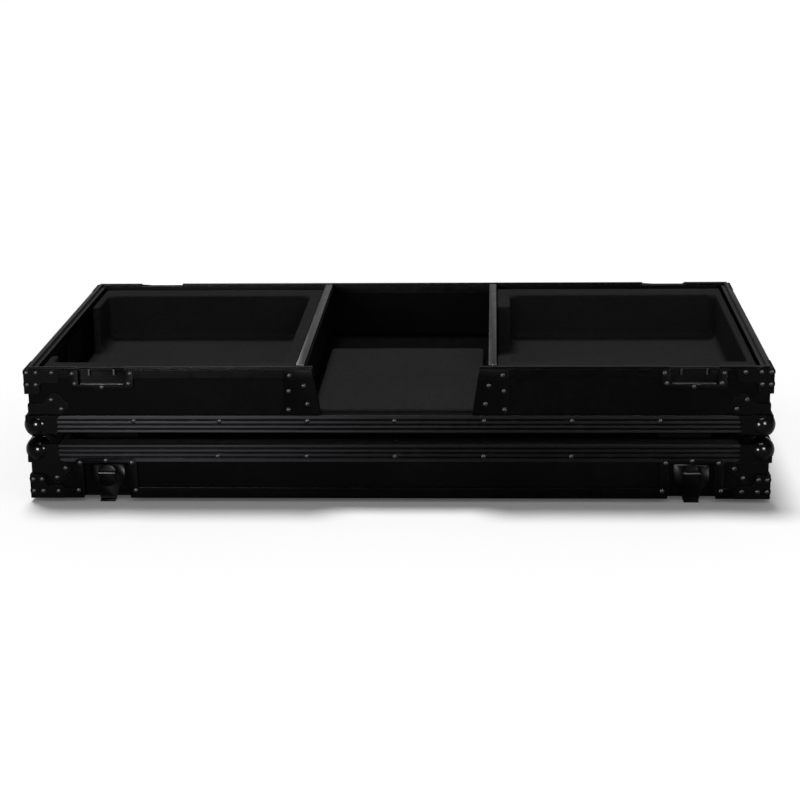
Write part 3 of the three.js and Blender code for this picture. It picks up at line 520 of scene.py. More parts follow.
def rubber_finish():
    black, grey = (0.0009, 0.0009, 0.0009), (0.0018, 0.0018, 0.0018)
    smooth, rough = 0.62, 0.82
    material, tree, shader = new_finish("moulded_rubber", black, smooth, specular=MATT_SHEEN)
    dull = effect(tree, PATCHES, Scale=18.0).outputs["Mask"]
    tree.links.new(mixed_colour(tree, dull, black, grey), shader.inputs["Base Color"])
    tree.links.new(mixed_value(tree, dull, smooth, rough), shader.inputs["Roughness"])
    skin = effect(tree, STIPPLE, Scale=1600.0).outputs["Height"]
    relief(tree, shader, skin, depth=0.06 * MM, strength=0.5)
    return material


RUBBER = rubber_finish()
print("finishes:", ", ".join(sorted(m.name for m in bpy.data.materials if m.users == 0)))

# %% [markdown]
# The plywood panels, floors and dividers are flat boards with cut-outs, which the model already
# has exactly. They stay as they are and only take a finish.

# %% Boards


def dress(node, material):
    """Gives a node of the model its finish."""
    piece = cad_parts[node]
    if not piece.material_slots:
        piece.data.materials.append(material)
    for slot in piece.material_slots:
        slot.link = "OBJECT"
        slot.material = material


for tray in TRAYS:
    for board in ("floor", "front_panel", "back_panel", "left_panel", "right_panel"):
        dress(f"{tray}_{board}", LAMINATE)
for end in ENDS:
    dress(f"divider_{end}", DIVIDER)

# %% [markdown]
# Every other piece is a new mesh. This helper turns a bmesh into an object, smooths it, rounds
# its sharp edges with a Bevel modifier and hands it to the body that it moves with. Hardened
# normals keep flat faces flat, so that only the rounded edges shade like curves.

# %% From bmesh to piece


def as_mesh(shape, name):
    """A mesh from a bmesh, which is freed."""
    mesh = bpy.data.meshes.new(name)
    shape.to_mesh(mesh)
    shape.free()
    return mesh


def made(shape, name, body, material, slot, stands_for=(), rounding=0.0, segments=2, sharp=38):
    """Turns a bmesh into a finished piece of the case."""
    mesh = as_mesh(shape, name)
    mesh.materials.append(material)
    mesh.shade_smooth()
    piece = in_scene(name, mesh)
    if rounding:
        bevel = piece.modifiers.new("rounded edges", "BEVEL")
        bevel.width = rounding
        bevel.segments = segments
        bevel.limit_method = "ANGLE"
        bevel.angle_limit = math.radians(sharp)
        bevel.harden_normals = True
    else:
        mesh.set_sharp_from_angle(angle=math.radians(sharp))
        weighted = piece.modifiers.new("weighted normals", "WEIGHTED_NORMAL")
        weighted.keep_sharp = True
    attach(piece, body)
    if stands_for:
        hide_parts(*stands_for)
    return piece


# %% [markdown]
# A node of the model is loose triangles. Merged and dissolved into its flat faces, a copy of it
# is a clean starting shape, and rounding its edges turns it into a pressing, casting or cut
# board. The keepers and latches are made this way, because their notches have to match
# those of the model to a fraction of a millimetre.

# %% A copy of a node


def copied(node):
    """A node of the model as a bmesh with merged corners and whole flat faces."""
    shape = bmesh.new()
    shape.from_mesh(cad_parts[node].data)
    bmesh.ops.remove_doubles(shape, verts=shape.verts, dist=WELD)
    bmesh.ops.dissolve_limit(
        shape, angle_limit=math.radians(0.5), verts=shape.verts, edges=shape.edges
    )
    return shape


# %% [markdown]
# Some shapes come out of one modifier, so a helper applies it and hands back a bmesh. The other
# helpers cut with a solid or a plane, join and thicken, and say in which frame a piece is drawn.

# %% Helpers for shaping


def modified(mesh, kind, **settings):
    """A mesh with one modifier applied, as a bmesh."""
    holder = in_scene("holder", mesh)
    modifier = holder.modifiers.new(kind.lower(), kind)
    for name, value in settings.items():
        setattr(modifier, name, value)
    graph = bpy.context.evaluated_depsgraph_get()
    result = bpy.data.meshes.new_from_object(holder.evaluated_get(graph))
    shape = bmesh.new()
    shape.from_mesh(result)
    bpy.data.objects.remove(holder)
    bpy.data.meshes.remove(result)
    return shape


def carved(shape, cutters):
    """A bmesh with other closed shapes cut out of it."""
    meshes = [as_mesh(shape, "carved"), as_mesh(cutters, "cutters")]
    tool = in_scene("cutters", meshes[1])
    result = modified(meshes[0], "BOOLEAN", operation="DIFFERENCE", solver="EXACT", object=tool)
    bpy.data.objects.remove(tool)
    for mesh in meshes:
        bpy.data.meshes.remove(mesh)
    return result


def cut_through(shape, place, normal, clear_outer=False, clear_inner=False):
    """Cuts a bmesh along a plane."""
    return bmesh.ops.bisect_plane(
        shape, geom=[*shape.verts, *shape.edges, *shape.faces], plane_co=place, plane_no=normal,
        clear_outer=clear_outer, clear_inner=clear_inner,
    )


def joined(parts):
    """One bmesh from several bmeshes, each with the matrix that places it."""
    whole = bmesh.new()
    for part, place in parts:
        if place.determinant() < 0:
            bmesh.ops.reverse_faces(part, faces=part.faces)
        bmesh.ops.transform(part, matrix=place, verts=part.verts)
        mesh = as_mesh(part, "part")
        whole.from_mesh(mesh)
        bpy.data.meshes.remove(mesh)
    return whole


def thicken(shape, face, way):
    """Pulls a face along a way, so that a flat outline becomes a closed solid."""
    side = bmesh.ops.extrude_face_region(shape, geom=[face])
    moved = [v for v in side["geom"] if isinstance(v, bmesh.types.BMVert)]
    bmesh.ops.translate(shape, verts=moved, vec=way)
    bmesh.ops.recalc_face_normals(shape, faces=shape.faces)


def axes(x, y, z, place=(0, 0, 0)):
    """A matrix whose columns are three axes and a place."""
    return Matrix.Translation(place) @ Matrix((x, y, z)).transposed().to_4x4()


def in_corner(closed_face, way, sx, sy):
    """From distances inwards of a tray's corner, and rises above its closed face, to the case."""
    return axes((-sx, 0, 0), (0, -sy, 0), (0, 0, way), (sx * HALF_W, sy * HALF_D, closed_face))


# %% [markdown]
# Two extrusions run round each tray: a channel over the plywood's edge, and an L-shaped edging
# with four ribs a leg. For both, the outline is drawn once and its corners are rounded. Spun
# round the tray in four steps it gives four mitred lengths of a square frame, and pulling the
# two halves apart makes the square as long as the case.

# %% An outline swept round the case


def swept(outline, tray, rounding):
    """An outline of (distance inside the outer face, rise) points, swept round one tray."""
    closed_face, way = TRAYS[tray]
    shape = bmesh.new()
    verts = [
        shape.verts.new((HALF_D - inside, HALF_D - inside, closed_face + way * rise))
        for inside, rise in outline
    ]
    shape.faces.new(verts)
    bmesh.ops.bevel(shape, geom=verts, offset=rounding, segments=2, profile=0.5,
                    affect="VERTICES", material=-1)
    bmesh.ops.delete(shape, geom=shape.faces[:], context="FACES_ONLY")
    bmesh.ops.spin(shape, geom=[*shape.verts, *shape.edges], cent=(0, 0, 0), axis=(0, 0, 1),
                   dvec=(0, 0, 0), angle=2 * math.pi, steps=4, use_merge=True)
    for vert in shape.verts:
        vert.co.x += math.copysign(HALF_W - HALF_D, vert.co.x)
    bmesh.ops.recalc_face_normals(shape, faces=shape.faces)
    return shape


# %% [markdown]
# The rim of the base carries a tongue, and the rim of the lid has the groove for it. Blocks as
# wide as the keepers and latch dishes are cut out of them, and from the base a trapezoid at the
# front, through which the centre bay is reached.

# %% Rims
RIM_H = 17 * MM
RIM_WEB = 3 * MM
RIM_DEEP = 17 * MM
TONGUE_H = 3 * MM
TONGUE_W = 5 * MM
TONGUE_INSET = 5 * MM
RIM_ROUNDING = 0.5 * MM
NOTCH_DEEP = RIM_DEEP - LEG_T + 0.1 * MM
NOTCH_HALF = {"base": 36.8 * MM, "lid": 36.3 * MM}
NOTCH_LOW = {"base": 76.5 * MM, "lid": 60 * MM}
CUTOUT_TOP = 254 * MM
CUTOUT_BOTTOM = 230 * MM
OVERRUN = 5 * MM
HEIGHTS = {"base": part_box("base_rim")[1].z - BASE_BOTTOM, "lid": LID_TOP - LID_BOTTOM}


def rim_outline(tray):
    """The channel over the plywood's edge, with its tongue or groove."""
    top = HEIGHTS[tray]
    if tray == "base":
        shoulder, crest, play, slot = top - TONGUE_H, top, 0, top - TONGUE_H - RIM_WEB
    else:
        shoulder, crest, play = top, top - TONGUE_H - FIT, FIT
        slot = crest - RIM_WEB
    near, far = TONGUE_INSET - play, TONGUE_INSET + TONGUE_W + play
    low = top - RIM_H
    return [
        (0, low), (0, shoulder), (near, shoulder), (near, crest), (far, crest), (far, shoulder),
        (RIM_DEEP, shoulder), (RIM_DEEP, low), (RIM_DEEP - LEG_T, low), (RIM_DEEP - LEG_T, slot),
        (LEG_T, slot), (LEG_T, low),
    ]


def boxed(shape, low, high):
    """Adds a block between two corners to a bmesh, and hands back its vertices."""
    middle = [(a + b) / 2 for a, b in zip(low, high)]
    size = [abs(b - a) for a, b in zip(low, high)]
    place = Matrix.Translation(middle) @ Matrix.Diagonal((*size, 1))
    return bmesh.ops.create_cube(shape, size=1, matrix=place)["verts"]


def rim_cutters(tray):
    """What is cut out of one rim."""
    closed_face, way = TRAYS[tray]
    tools = bmesh.new()
    low = closed_face + way * NOTCH_LOW[tray]
    high = closed_face + way * (HEIGHTS[tray] + OVERRUN)
    half = NOTCH_HALF[tray]
    for sx, sy in CORNERS.values():
        deep, proud = sy * (HALF_D - NOTCH_DEEP), sy * (HALF_D + OVERRUN)
        boxed(tools, (sx * LATCH_X - half, deep, low), (sx * LATCH_X + half, proud, high))
    if tray == "base":
        slope = (CUTOUT_TOP - CUTOUT_BOTTOM) / 2 / (HEIGHTS[tray] - EDGE_LEG)
        bottom = closed_face + EDGE_LEG
        half = CUTOUT_TOP / 2 + slope * OVERRUN
        inner = OVERRUN + RIM_DEEP - HALF_D
        for vert in boxed(tools, (-half, -HALF_D - OVERRUN, bottom), (half, inner, high)):
            if vert.co.z < bottom + WELD:
                vert.co.x = math.copysign(CUTOUT_BOTTOM / 2, vert.co.x)
    bmesh.ops.recalc_face_normals(tools, faces=tools.faces)
    return tools


for tray in TRAYS:
    channel = carved(swept(rim_outline(tray), tray, RIM_ROUNDING), rim_cutters(tray))
    made(channel, f"{tray}_rim_channel", tray, EXTRUSION, "extrusion", [f"{tray}_rim"], sharp=50)

# %% [markdown]
# A pressed plate braces each corner of a rim. It is drawn for one side of the corner, cut off at
# the mitre, and repeated with its two directions exchanged for the other side.

# %% Brace plates
BRACE_PROUD = 1 * MM
BRACE_REACH = 54 * MM
BRACE_NARROW = 24 * MM
BRACE_LOW = 20 * MM
BRACE_HIGH = 38 * MM
BRACE_BEVEL = 4 * MM


def brace_side(top):
    """One side of a brace plate, up to the mitre."""
    low, high = top - BRACE_LOW, top - BRACE_HIGH
    outline = [
        (0, high), (0, top), (BRACE_REACH, top), (BRACE_REACH, low + BRACE_BEVEL),
        (BRACE_REACH - BRACE_BEVEL, low), (BRACE_NARROW + BRACE_BEVEL, low),
        (BRACE_NARROW, low - BRACE_BEVEL), (BRACE_NARROW, high + BRACE_BEVEL),
        (BRACE_NARROW - BRACE_BEVEL, high),
    ]
    shape = bmesh.new()
    verts = [shape.verts.new((x - BRACE_PROUD, -BRACE_PROUD, z)) for x, z in outline]
    thicken(shape, shape.faces.new(verts), (0, BRACE_PROUD + LEG_T, 0))
    cut_through(shape, (0, 0, 0), (-1, 1, 0), clear_outer=True)
    return shape


def braces(tray):
    """The brace plates on all corners of one tray."""
    closed_face, way = TRAYS[tray]
    top = HEIGHTS[tray] - (TONGUE_H if tray == "base" else 0)
    plates = []
    for sx, sy in CORNERS.values():
        other_way = axes((0, 1, 0), (1, 0, 0), (0, 0, 1))
        corner = joined([(brace_side(top), Matrix.Identity(4)), (brace_side(top), other_way)])
        bmesh.ops.remove_doubles(corner, verts=corner.verts, dist=WELD)
        plates.append((corner, in_corner(closed_face, way, sx, sy)))
    return joined(plates)


for tray in TRAYS:
    made(braces(tray), f"{tray}_brace_plates", tray, HARDWARE, "extrusion", [f"{tray}_rim"],
         rounding=0.4 * MM, sharp=25)

# %% [markdown]
# The edging's ribs are outlined with slanted grooves between them. Its corners are then cut off
# at a slant, to make room inside the balls.

# %% Edging
EDGE_ROUND = 2 * MM
RIBS = 4
GROOVE_HALF = 1.3 * MM
GROOVE_SLOPE = 0.6 * MM
GROOVE_DEPTH = 1.3 * MM
RIB_ROUNDING = 0.35 * MM
CLOSED_FACE_PAINTED_LIGHT = 0.25  # painted light on the ribs of the closed faces, from 0 to 1: low, as painted shade
# painted light on the ribs of the sides, from 0 to 1: lower on the lid, as painted shade
SIDE_PAINTED_LIGHT = {"base": 1.0, "lid": 0.6}
CORNER_TRIM = 16 * MM  # from the centre of the ball to the cut

BALL_R = 20.4 * MM
BALL_INSET = 13.5 * MM
BALL_RISE = 11.65 * MM
BALL_PROUD = 8.35 * MM


def ribbed_leg():
    """Points along one leg as (distance, depth), from the corner outwards."""
    points = []
    for rib in range(1, RIBS):
        middle = rib * EDGE_LEG / RIBS
        for sign in (-1, 1):
            slope = [(GROOVE_HALF + GROOVE_SLOPE, 0), (GROOVE_HALF, GROOVE_DEPTH)][::-sign]
            points += [(middle + sign * reach, depth) for reach, depth in slope]
    return points


def edging_outline():
    """The L of the edging, as (distance inside the outer face, rise above the closed face)."""
    up = ribbed_leg()
    under = [(EDGE_LEG, LEG_T), (EDGE_LEG, 0), *reversed(up), (EDGE_ROUND, 0)]
    side = [(0, EDGE_ROUND), *((depth, along) for along, depth in up), (0, EDGE_LEG)]
    return [*under, *side, (LEG_T, EDGE_LEG), (LEG_T, LEG_T)]


def edging(tray):
    """The edging of one tray, with its corners cut off."""
    closed_face, way = TRAYS[tray]
    shape = swept(edging_outline(), tray, RIB_ROUNDING)
    for sx, sy in CORNERS.values():
        outward = Vector((sx * BALL_INSET, sy * BALL_INSET, -way * BALL_RISE)).normalized()
        centre = in_corner(closed_face, way, sx, sy) @ Vector((BALL_INSET, BALL_INSET, BALL_RISE))
        cut = cut_through(shape, centre + outward * CORNER_TRIM, outward, clear_outer=True)
        ring = [e for e in cut["geom_cut"] if isinstance(e, bmesh.types.BMEdge)]
        bmesh.ops.holes_fill(shape, edges=ring)
    return shape


def paint_rib_light(mesh, tray):
    """Writes painted light: how near each vertex is to the outer faces, and less on faces in
    shade.
    """
    closed_face, way = TRAYS[tray]
    marks = mesh.attributes.new(RIB_PAINTED_LIGHT, "FLOAT", "POINT").data
    for vert, mark in zip(mesh.vertices, marks):
        x, y, z = vert.co
        side, rise = min(HALF_W - abs(x), HALF_D - abs(y)), way * (z - closed_face)
        top = 1 - min(max(min(side, rise) / GROOVE_DEPTH, 0), 1)
        mark.value = top * (SIDE_PAINTED_LIGHT[tray] if side < LEG_T else CLOSED_FACE_PAINTED_LIGHT)


for tray in TRAYS:
    strip = made(edging(tray), f"{tray}_ribbed_edging", tray, RIBBED, "extrusion",
                 [f"{tray}_edging"], sharp=50)
    paint_rib_light(strip.data, tray)
    print(strip.name, len(strip.data.polygons), "faces")

# %% [markdown]
# A ball corner is pressed from one sheet: a hollow ball over the very corner and three leaves
# that lie on the faces. The ball starts as a sphere, cut along the three faces of the case; what
# lies inside the case is deleted, the pole is ground flat where the balls of the two trays meet,
# and the skin gets its thickness. Everything is measured inwards from the case's corner.

# %% The ball
BALL_STEPS = 40
BALL_SKIN = 1.2 * MM


def ball():
    """The ball of the corner, as a bmesh in inward distances."""
    shape = bmesh.new()
    bmesh.ops.create_uvsphere(
        shape, u_segments=BALL_STEPS, v_segments=BALL_STEPS // 2, radius=BALL_R,
        matrix=Matrix.Translation((BALL_INSET, BALL_INSET, BALL_RISE)),
    )
    for axis in range(3):
        normal = [0, 0, 0]
        normal[axis] = 1
        place = [-FIT * part for part in normal]
        cut_through(shape, place, normal)
    buried = [f for f in shape.faces if min(f.calc_center_median()) > -FIT]
    bmesh.ops.delete(shape, geom=buried, context="FACES")
    ground = cut_through(shape, (0, 0, -BALL_PROUD), (0, 0, -1), clear_outer=True)
    ring = [e for e in ground["geom_cut"] if isinstance(e, bmesh.types.BMEdge)]
    bmesh.ops.edgeloop_fill(shape, edges=ring)
    bmesh.ops.recalc_face_normals(shape, faces=shape.faces)
    bmesh.ops.solidify(shape, geom=shape.faces[:], thickness=BALL_SKIN)
    return shape


# %% [markdown]
# A leaf starts as one flat face with its corners rounded. It lies on the edging near the corner
# and on the plywood further in, which is 4 mm lower. Two cuts mark the step, what lies beyond
# them is pushed down, and the sheet gets its thickness. On a side face the lower part also
# draws in round the upright corner of the plywood.

# %% The leaves
LEAF_T = 1.5 * MM
LEAF_NEAR = 46 * MM
LEAF_WAIST = 25 * MM
LEAF_FAR = 64 * MM
LEAF_TIP = 47 * MM
LEAF_CORNER = 4 * MM
LEAF_OUT = -FIT - LEAF_T
LEAF_STEP = EDGE_LEG + FIT
LEAF_CUT = 18 * MM  # what the ball covers, along both edges together


def leaf(steps_both_ways):
    """One leaf as a bmesh: X and Y run inwards from the corner, and Z points outwards."""
    shape = bmesh.new()
    outline = [
        (LEAF_OUT, LEAF_OUT), (LEAF_NEAR, LEAF_OUT), (LEAF_TIP, LEAF_WAIST),
        (LEAF_FAR, LEAF_FAR - LEAF_WAIST), (LEAF_FAR, LEAF_TIP), (LEAF_TIP, LEAF_FAR),
        (LEAF_FAR - LEAF_WAIST, LEAF_FAR), (LEAF_WAIST, LEAF_TIP), (LEAF_OUT, LEAF_NEAR),
    ]
    verts = [shape.verts.new((x, y, FIT + LEAF_T)) for x, y in outline]
    shape.faces.new(verts)
    bmesh.ops.bevel(shape, geom=verts[2:-1], offset=LEAF_CORNER, segments=3, profile=0.5,
                    affect="VERTICES", material=-1)
    cut_through(shape, (LEAF_CUT / 2, LEAF_CUT / 2, 0), (-1, -1, 0), clear_outer=True)
    ways = [(1, 0, 0), (0, 1, 0)] if steps_both_ways else [(0, 1, 0)]
    for way in ways:
        for reach in (LEAF_STEP, LEAF_STEP + LEAF_T):
            cut_through(shape, [reach * part for part in way], way)
    past = LEAF_STEP + LEAF_T - WELD
    for vert in shape.verts:
        if vert.co.y > past and (vert.co.x > past or not steps_both_ways):
            vert.co.z -= INSET
            if vert.co.x < LEAF_OUT + WELD:
                vert.co.x += INSET
    bmesh.ops.recalc_face_normals(shape, faces=shape.faces)
    if shape.faces[:][0].normal.z < 0:
        bmesh.ops.reverse_faces(shape, faces=shape.faces)
    bmesh.ops.solidify(shape, geom=shape.faces[:], thickness=LEAF_T)
    return shape


# %% [markdown]
# The three leaves are turned on to their faces, and the corner that results is mirrored to the
# other seven. A mirror turns a mesh inside out, so its faces are turned back. The ball is a
# piece of its own, because it is polished and the leaves are not.

# %% Eight ball corners


def leaves():
    """The three leaves of a corner, as one bmesh in inward distances."""
    return joined([
        (leaf(False), axes((1, 0, 0), (0, 0, 1), (0, -1, 0))),
        (leaf(False), axes((0, 1, 0), (0, 0, 1), (-1, 0, 0))),
        (leaf(True), axes((1, 0, 0), (0, 1, 0), (0, 0, -1))),
    ])


for tray, (closed_face, way) in TRAYS.items():
    for where, (sx, sy) in CORNERS.items():
        place = in_corner(closed_face, way, sx, sy)
        for kind, shape, finish in (("ball", ball(), BALL_STEEL), ("leaves", leaves(), HARDWARE)):
            made(joined([(shape, place)]), f"{tray}_{kind}_{where}", tray, finish, "ball_steel",
                 [f"{tray}_ball_corner_{where}"], rounding=0.35 * MM, sharp=50)
print("ball corners:", 2 * len(CORNERS))

# %% [markdown]
# Keepers, latch dishes, handle dishes, divider caps, the plates beside the front cut-out and the
# working parts of the latches are copies of their nodes with rounded edges. How round depends
# on how the real piece is made: a folded sheet is rounder than a turned disc.

# %% Pressings and latch parts
for where in CORNERS:
    for piece, body, material, slot, rounding in (
        ("keeper", "base", HARDWARE, "hardware", 0.35 * MM),
        ("latch_dish", "lid", HARDWARE, "hardware", 0.35 * MM),
        ("latch_hook", f"latch_hook_{where}", LATCH_STEEL, "latch_steel", 0.3 * MM),
        ("latch_hub", f"latch_hub_{where}", LATCH_STEEL, "latch_steel", 0.25 * MM),
        ("latch_key", f"latch_key_{where}", LATCH_STEEL, "latch_steel", 0.35 * MM),
    ):
        node = f"{piece}_{where}"
        made(copied(node), f"{node}_finished", body, material, slot, [node], rounding=rounding)
for end in ENDS:
    for piece, material, slot, rounding in (
        ("handle_dish", HARDWARE, "hardware", 0.4 * MM),
        ("cutout_plate", HARDWARE, "hardware", 0.4 * MM),
        ("divider_cap", CAP_METAL, "cap_metal", 0.4 * MM),
    ):
        node = f"{piece}_{end}"
        made(copied(node), f"{node}_finished", "base", material, slot, [node], rounding=rounding)

# %% [markdown]
# The claws of the latches drag over the floors of the keepers, and the keys turn on their pins,
# so both are rubbed bare. Each bare place is a thin piece on top of the worn one; on the floors
# of the keepers its paleness is partly wear and partly a painted highlight on the ledge. In a
# keeper, a lug on either side of the bar guides the claw.

# %% Bare places and lugs
LUG_FROM, LUG_TO = 17.6 * MM, 20.6 * MM  # from the middle of the keeper
LUG_H = 10 * MM
LUG_NEAR, LUG_FAR = 4.0 * MM, 6.0 * MM
SHELF_HALF = 33 * MM
SHELF_NEAR, SHELF_FAR = 0.8 * MM, 9.8 * MM  # from the face of the case inwards
SHELF_DROP = 23 * MM  # below the rim's shoulder
BARE_T = 0.25 * MM
BARE_PIN_R = 2.7 * MM
BARE_PIN_HALF = 12.2 * MM
PIN_STEPS = 16
HINGE_DOWN = 2 * MM  # top of the key to its hinge


def spun(outline, matrix, steps):
    """An outline of (along, radius) points spun round X, then placed."""
    shape = bmesh.new()
    verts = [shape.verts.new((along, 0, radius)) for along, radius in outline]
    for first, second in zip(verts, verts[1:]):
        shape.edges.new((first, second))
    bmesh.ops.spin(shape, geom=[*shape.verts, *shape.edges], cent=(0, 0, 0), axis=(1, 0, 0),
                   dvec=(0, 0, 0), angle=2 * math.pi, steps=steps, use_merge=True)
    bmesh.ops.remove_doubles(shape, verts=shape.verts, dist=WELD)
    bmesh.ops.recalc_face_normals(shape, faces=shape.faces)
    bmesh.ops.transform(shape, matrix=matrix, verts=shape.verts)
    return shape


def rod(half, radius):
    """The outline of a plain rod, for spinning."""
    return [(-half, 0), (-half, radius), (half, radius), (half, 0)]


shelves, lugs = bmesh.new(), bmesh.new()
for where, (sx, sy) in CORNERS.items():
    middle = sx * LATCH_X
    shelf = BASE_SHOULDER - SHELF_DROP
    boxed(shelves, (middle - SHELF_HALF, sy * (HALF_D - SHELF_NEAR), shelf),
          (middle + SHELF_HALF, sy * (HALF_D - SHELF_FAR), shelf + BARE_T))
    for side in (-1, 1):
        boxed(lugs, (middle + side * LUG_FROM, sy * (HALF_D - LUG_NEAR), BASE_SHOULDER - LUG_H),
              (middle + side * LUG_TO, sy * (HALF_D - LUG_FAR), BASE_SHOULDER - FIT))
    key_low, key_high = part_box(f"latch_key_{where}")
    hinge = (middle, (key_low.y + key_high.y) / 2, key_high.z - HINGE_DOWN)
    made(spun(rod(BARE_PIN_HALF, BARE_PIN_R), Matrix.Translation(hinge), PIN_STEPS),
         f"latch_pin_{where}", f"latch_key_{where}", RIVET_STEEL, "latch_steel", sharp=60)
# the keepers' floors: rubbed bare, and paler as a painted highlight on the ledge
made(shelves, "keeper_shelves_and_highlight", "base", BARE_STEEL_AND_HIGHLIGHT, "latch_steel", sharp=60)
made(lugs, "keeper_lugs", "base", RIVET_STEEL, "hardware", rounding=0.4 * MM)

# %% [markdown]
# Foam is never quite flat and its cut edges are soft. The model's solid is remeshed into small
# even cells, which rounds every edge, then the surface is smoothed and moved in and out a
# fraction of a millimetre by a noise that depends only on the place.

# %% Foam in the bays
FOAM_CELL = 5 * MM
FOAM_WAVE = 0.35 * MM
FOAM_WAVE_LENGTH = 35 * MM


def foam(node, body):
    """A foam piece in the space of its node."""
    shape = modified(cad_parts[node].data, "REMESH", mode="VOXEL", voxel_size=FOAM_CELL)
    bmesh.ops.smooth_vert(shape, verts=shape.verts, factor=0.5, use_axis_x=True,
                          use_axis_y=True, use_axis_z=True)
    shape.normal_update()
    for vert in shape.verts:
        wave = noise.noise(vert.co / FOAM_WAVE_LENGTH)
        vert.co += vert.normal * FOAM_WAVE * (wave - 1)
    piece = made(shape, f"{node}_finished", body, FOAM, "foam", [node], sharp=80)
    return piece


for node in ("bay_foam_left", "bay_foam_right", "centre_pad"):
    piece = foam(node, "base")
    print(piece.name, len(piece.data.polygons), "faces")

# %% [markdown]
# The sheet that lines the lid is thin and wide, so it is a copy of its node with rounded edges.

# %% Foam in the lid
lining = made(copied("lid_lining"), "lid_lining_finished", "lid", FOAM, "foam", ["lid_lining"],
              rounding=1.5 * MM, segments=3)

# %% [markdown]
# A rubber foot is a tapered block with soft edges.

# %% Feet
for where in CORNERS:
    node = f"foot_{where}"
    made(copied(node), f"{node}_finished", "base", RUBBER, "foot_rubber", [node],
         rounding=1.2 * MM, segments=3)

# %% [markdown]
# A drop handle is a steel bail with a ribbed rubber sleeve over its middle. The sleeve is a
# ribbed outline spun round the bar. Each arm is a flat strip, rounded where it turns on its pin.

# %% Handles
GRIP_R = 5.5 * MM
GRIP_RIB = 0.5 * MM
GRIP_RIBS = 19
RIB_PROFILE = ((0.02, -GRIP_RIB), (0.2, 0), (0.75, 0), (0.93, -GRIP_RIB))  # (along, outwards)
ARM_T = 3 * MM
ARM_R = 4 * MM
PIN_R = 2 * MM
ROUND_STEPS = 20


def sleeve_outline(half):
    """A ribbed sleeve between two ends, closed on the axis."""
    pitch = 2 * half / GRIP_RIBS
    points = [(-half, 0)]
    for rib in range(GRIP_RIBS):
        start = rib * pitch - half
        points += [(start + share * pitch, GRIP_R + change) for share, change in RIB_PROFILE]
    return [*points, (half, 0)]


def arm(x0, x1, pivot, grip):
    """One arm of the bail: a strip from the grip to an eye round the pin."""
    shape = bmesh.new()
    outline = [(-ARM_R, grip), (ARM_R, grip), (ARM_R, pivot)]
    verts = [shape.verts.new((x0, y, z)) for y, z in outline]
    eye = bmesh.ops.create_circle(
        shape, segments=ROUND_STEPS, radius=ARM_R,
        matrix=Matrix.Translation((x0, 0, pivot)) @ Matrix.Rotation(math.pi / 2, 4, "Y"),
    )
    upper = [v for v in eye["verts"] if v.co.z > pivot + WELD]
    bmesh.ops.delete(shape, geom=[v for v in eye["verts"] if v not in upper], context="VERTS")
    upper.sort(key=lambda v: -v.co.y)
    last = shape.verts.new((x0, -ARM_R, pivot))
    thicken(shape, shape.faces.new([*verts, *upper, last]), (x1 - x0, 0, 0))
    return shape


for end, sign in ENDS.items():
    node = f"handle_grip_{end}"
    low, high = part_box(node)
    pin_half = high.y
    inside = high.y - SHEET - ARM_T
    pivot = high.z - ARM_R
    grip = low.z + GRIP_R
    depth = (low.x + high.x) / 2
    turn = Matrix.Translation((depth, 0, 0)) @ Matrix.Rotation(math.pi / 2, 4, "Z")
    bail = [(spun(rod(pin_half, PIN_R), Matrix.Translation((0, 0, pivot)), PIN_STEPS), turn)]
    for side in (-1, 1):
        bail.append((arm(side * (inside - ARM_T), side * inside, pivot, grip), turn))
    made(joined(bail), f"handle_bail_{end}", node, LATCH_STEEL, "latch_steel", [node],
         rounding=0.4 * MM)
    sleeve = spun(sleeve_outline(inside - ARM_T), Matrix.Translation((0, 0, grip)), ROUND_STEPS)
    made(joined([(sleeve, turn)]), f"handle_sleeve_{end}", node, RUBBER, "grip_rubber", [node],
         sharp=60)

# %% [markdown]
# Rivets hold all of it together: a domed head about 8 mm across at every place where steel or
# aluminium meets plywood. One head is half a flattened sphere, and every rivet is a copy of it,
# so the several hundred of them stay light. Each tray's rivets are one piece.

# %% Rivets
RIVET_R = 4 * MM
RIVET_H = 1.5 * MM


def rivet_head(radius, height):
    """A domed head on the plane Z = 0, as a mesh to be copied."""
    shape = bmesh.new()
    bmesh.ops.create_uvsphere(shape, u_segments=12, v_segments=6, radius=radius)
    cut_through(shape, (0, 0, 0), (0, 0, 1), clear_inner=True)
    bmesh.ops.scale(shape, vec=(1, 1, height / radius), verts=shape.verts)
    rim = [e for e in shape.edges if e.is_boundary]
    bmesh.ops.edgeloop_fill(shape, edges=rim)
    bmesh.ops.recalc_face_normals(shape, faces=shape.faces)
    return as_mesh(shape, "rivet_head")


def scattered(stamp, places):
    """Copies of a mesh at many places, as one bmesh."""
    shape = bmesh.new()
    for place in places:
        start = len(shape.verts)
        shape.from_mesh(stamp)
        shape.verts.ensure_lookup_table()
        bmesh.ops.transform(shape, matrix=place, verts=shape.verts[start:])
    return shape


def on_front(x, z, depth, sy=-1):
    """Facing out of the front, or of the back."""
    return axes((-sy, 0, 0), (0, 0, 1), (0, sy, 0), (x, sy * (HALF_D - depth), z))


def on_end(y, z, depth, sx):
    """Facing out of an end."""
    return axes((0, sx, 0), (0, 0, 1), (sx, 0, 0), (sx * (HALF_W - depth), y, z))


def on_closed_face(tray, x, y, depth):
    """Facing out of a tray's closed face."""
    closed_face, way = TRAYS[tray]
    return axes((1, 0, 0), (0, -way, 0), (0, 0, -way), (x, y, closed_face + way * depth))


# %% [markdown]
# The places are measured from the photograph where it shows them, and repeated on the sides
# that it doesn't show.

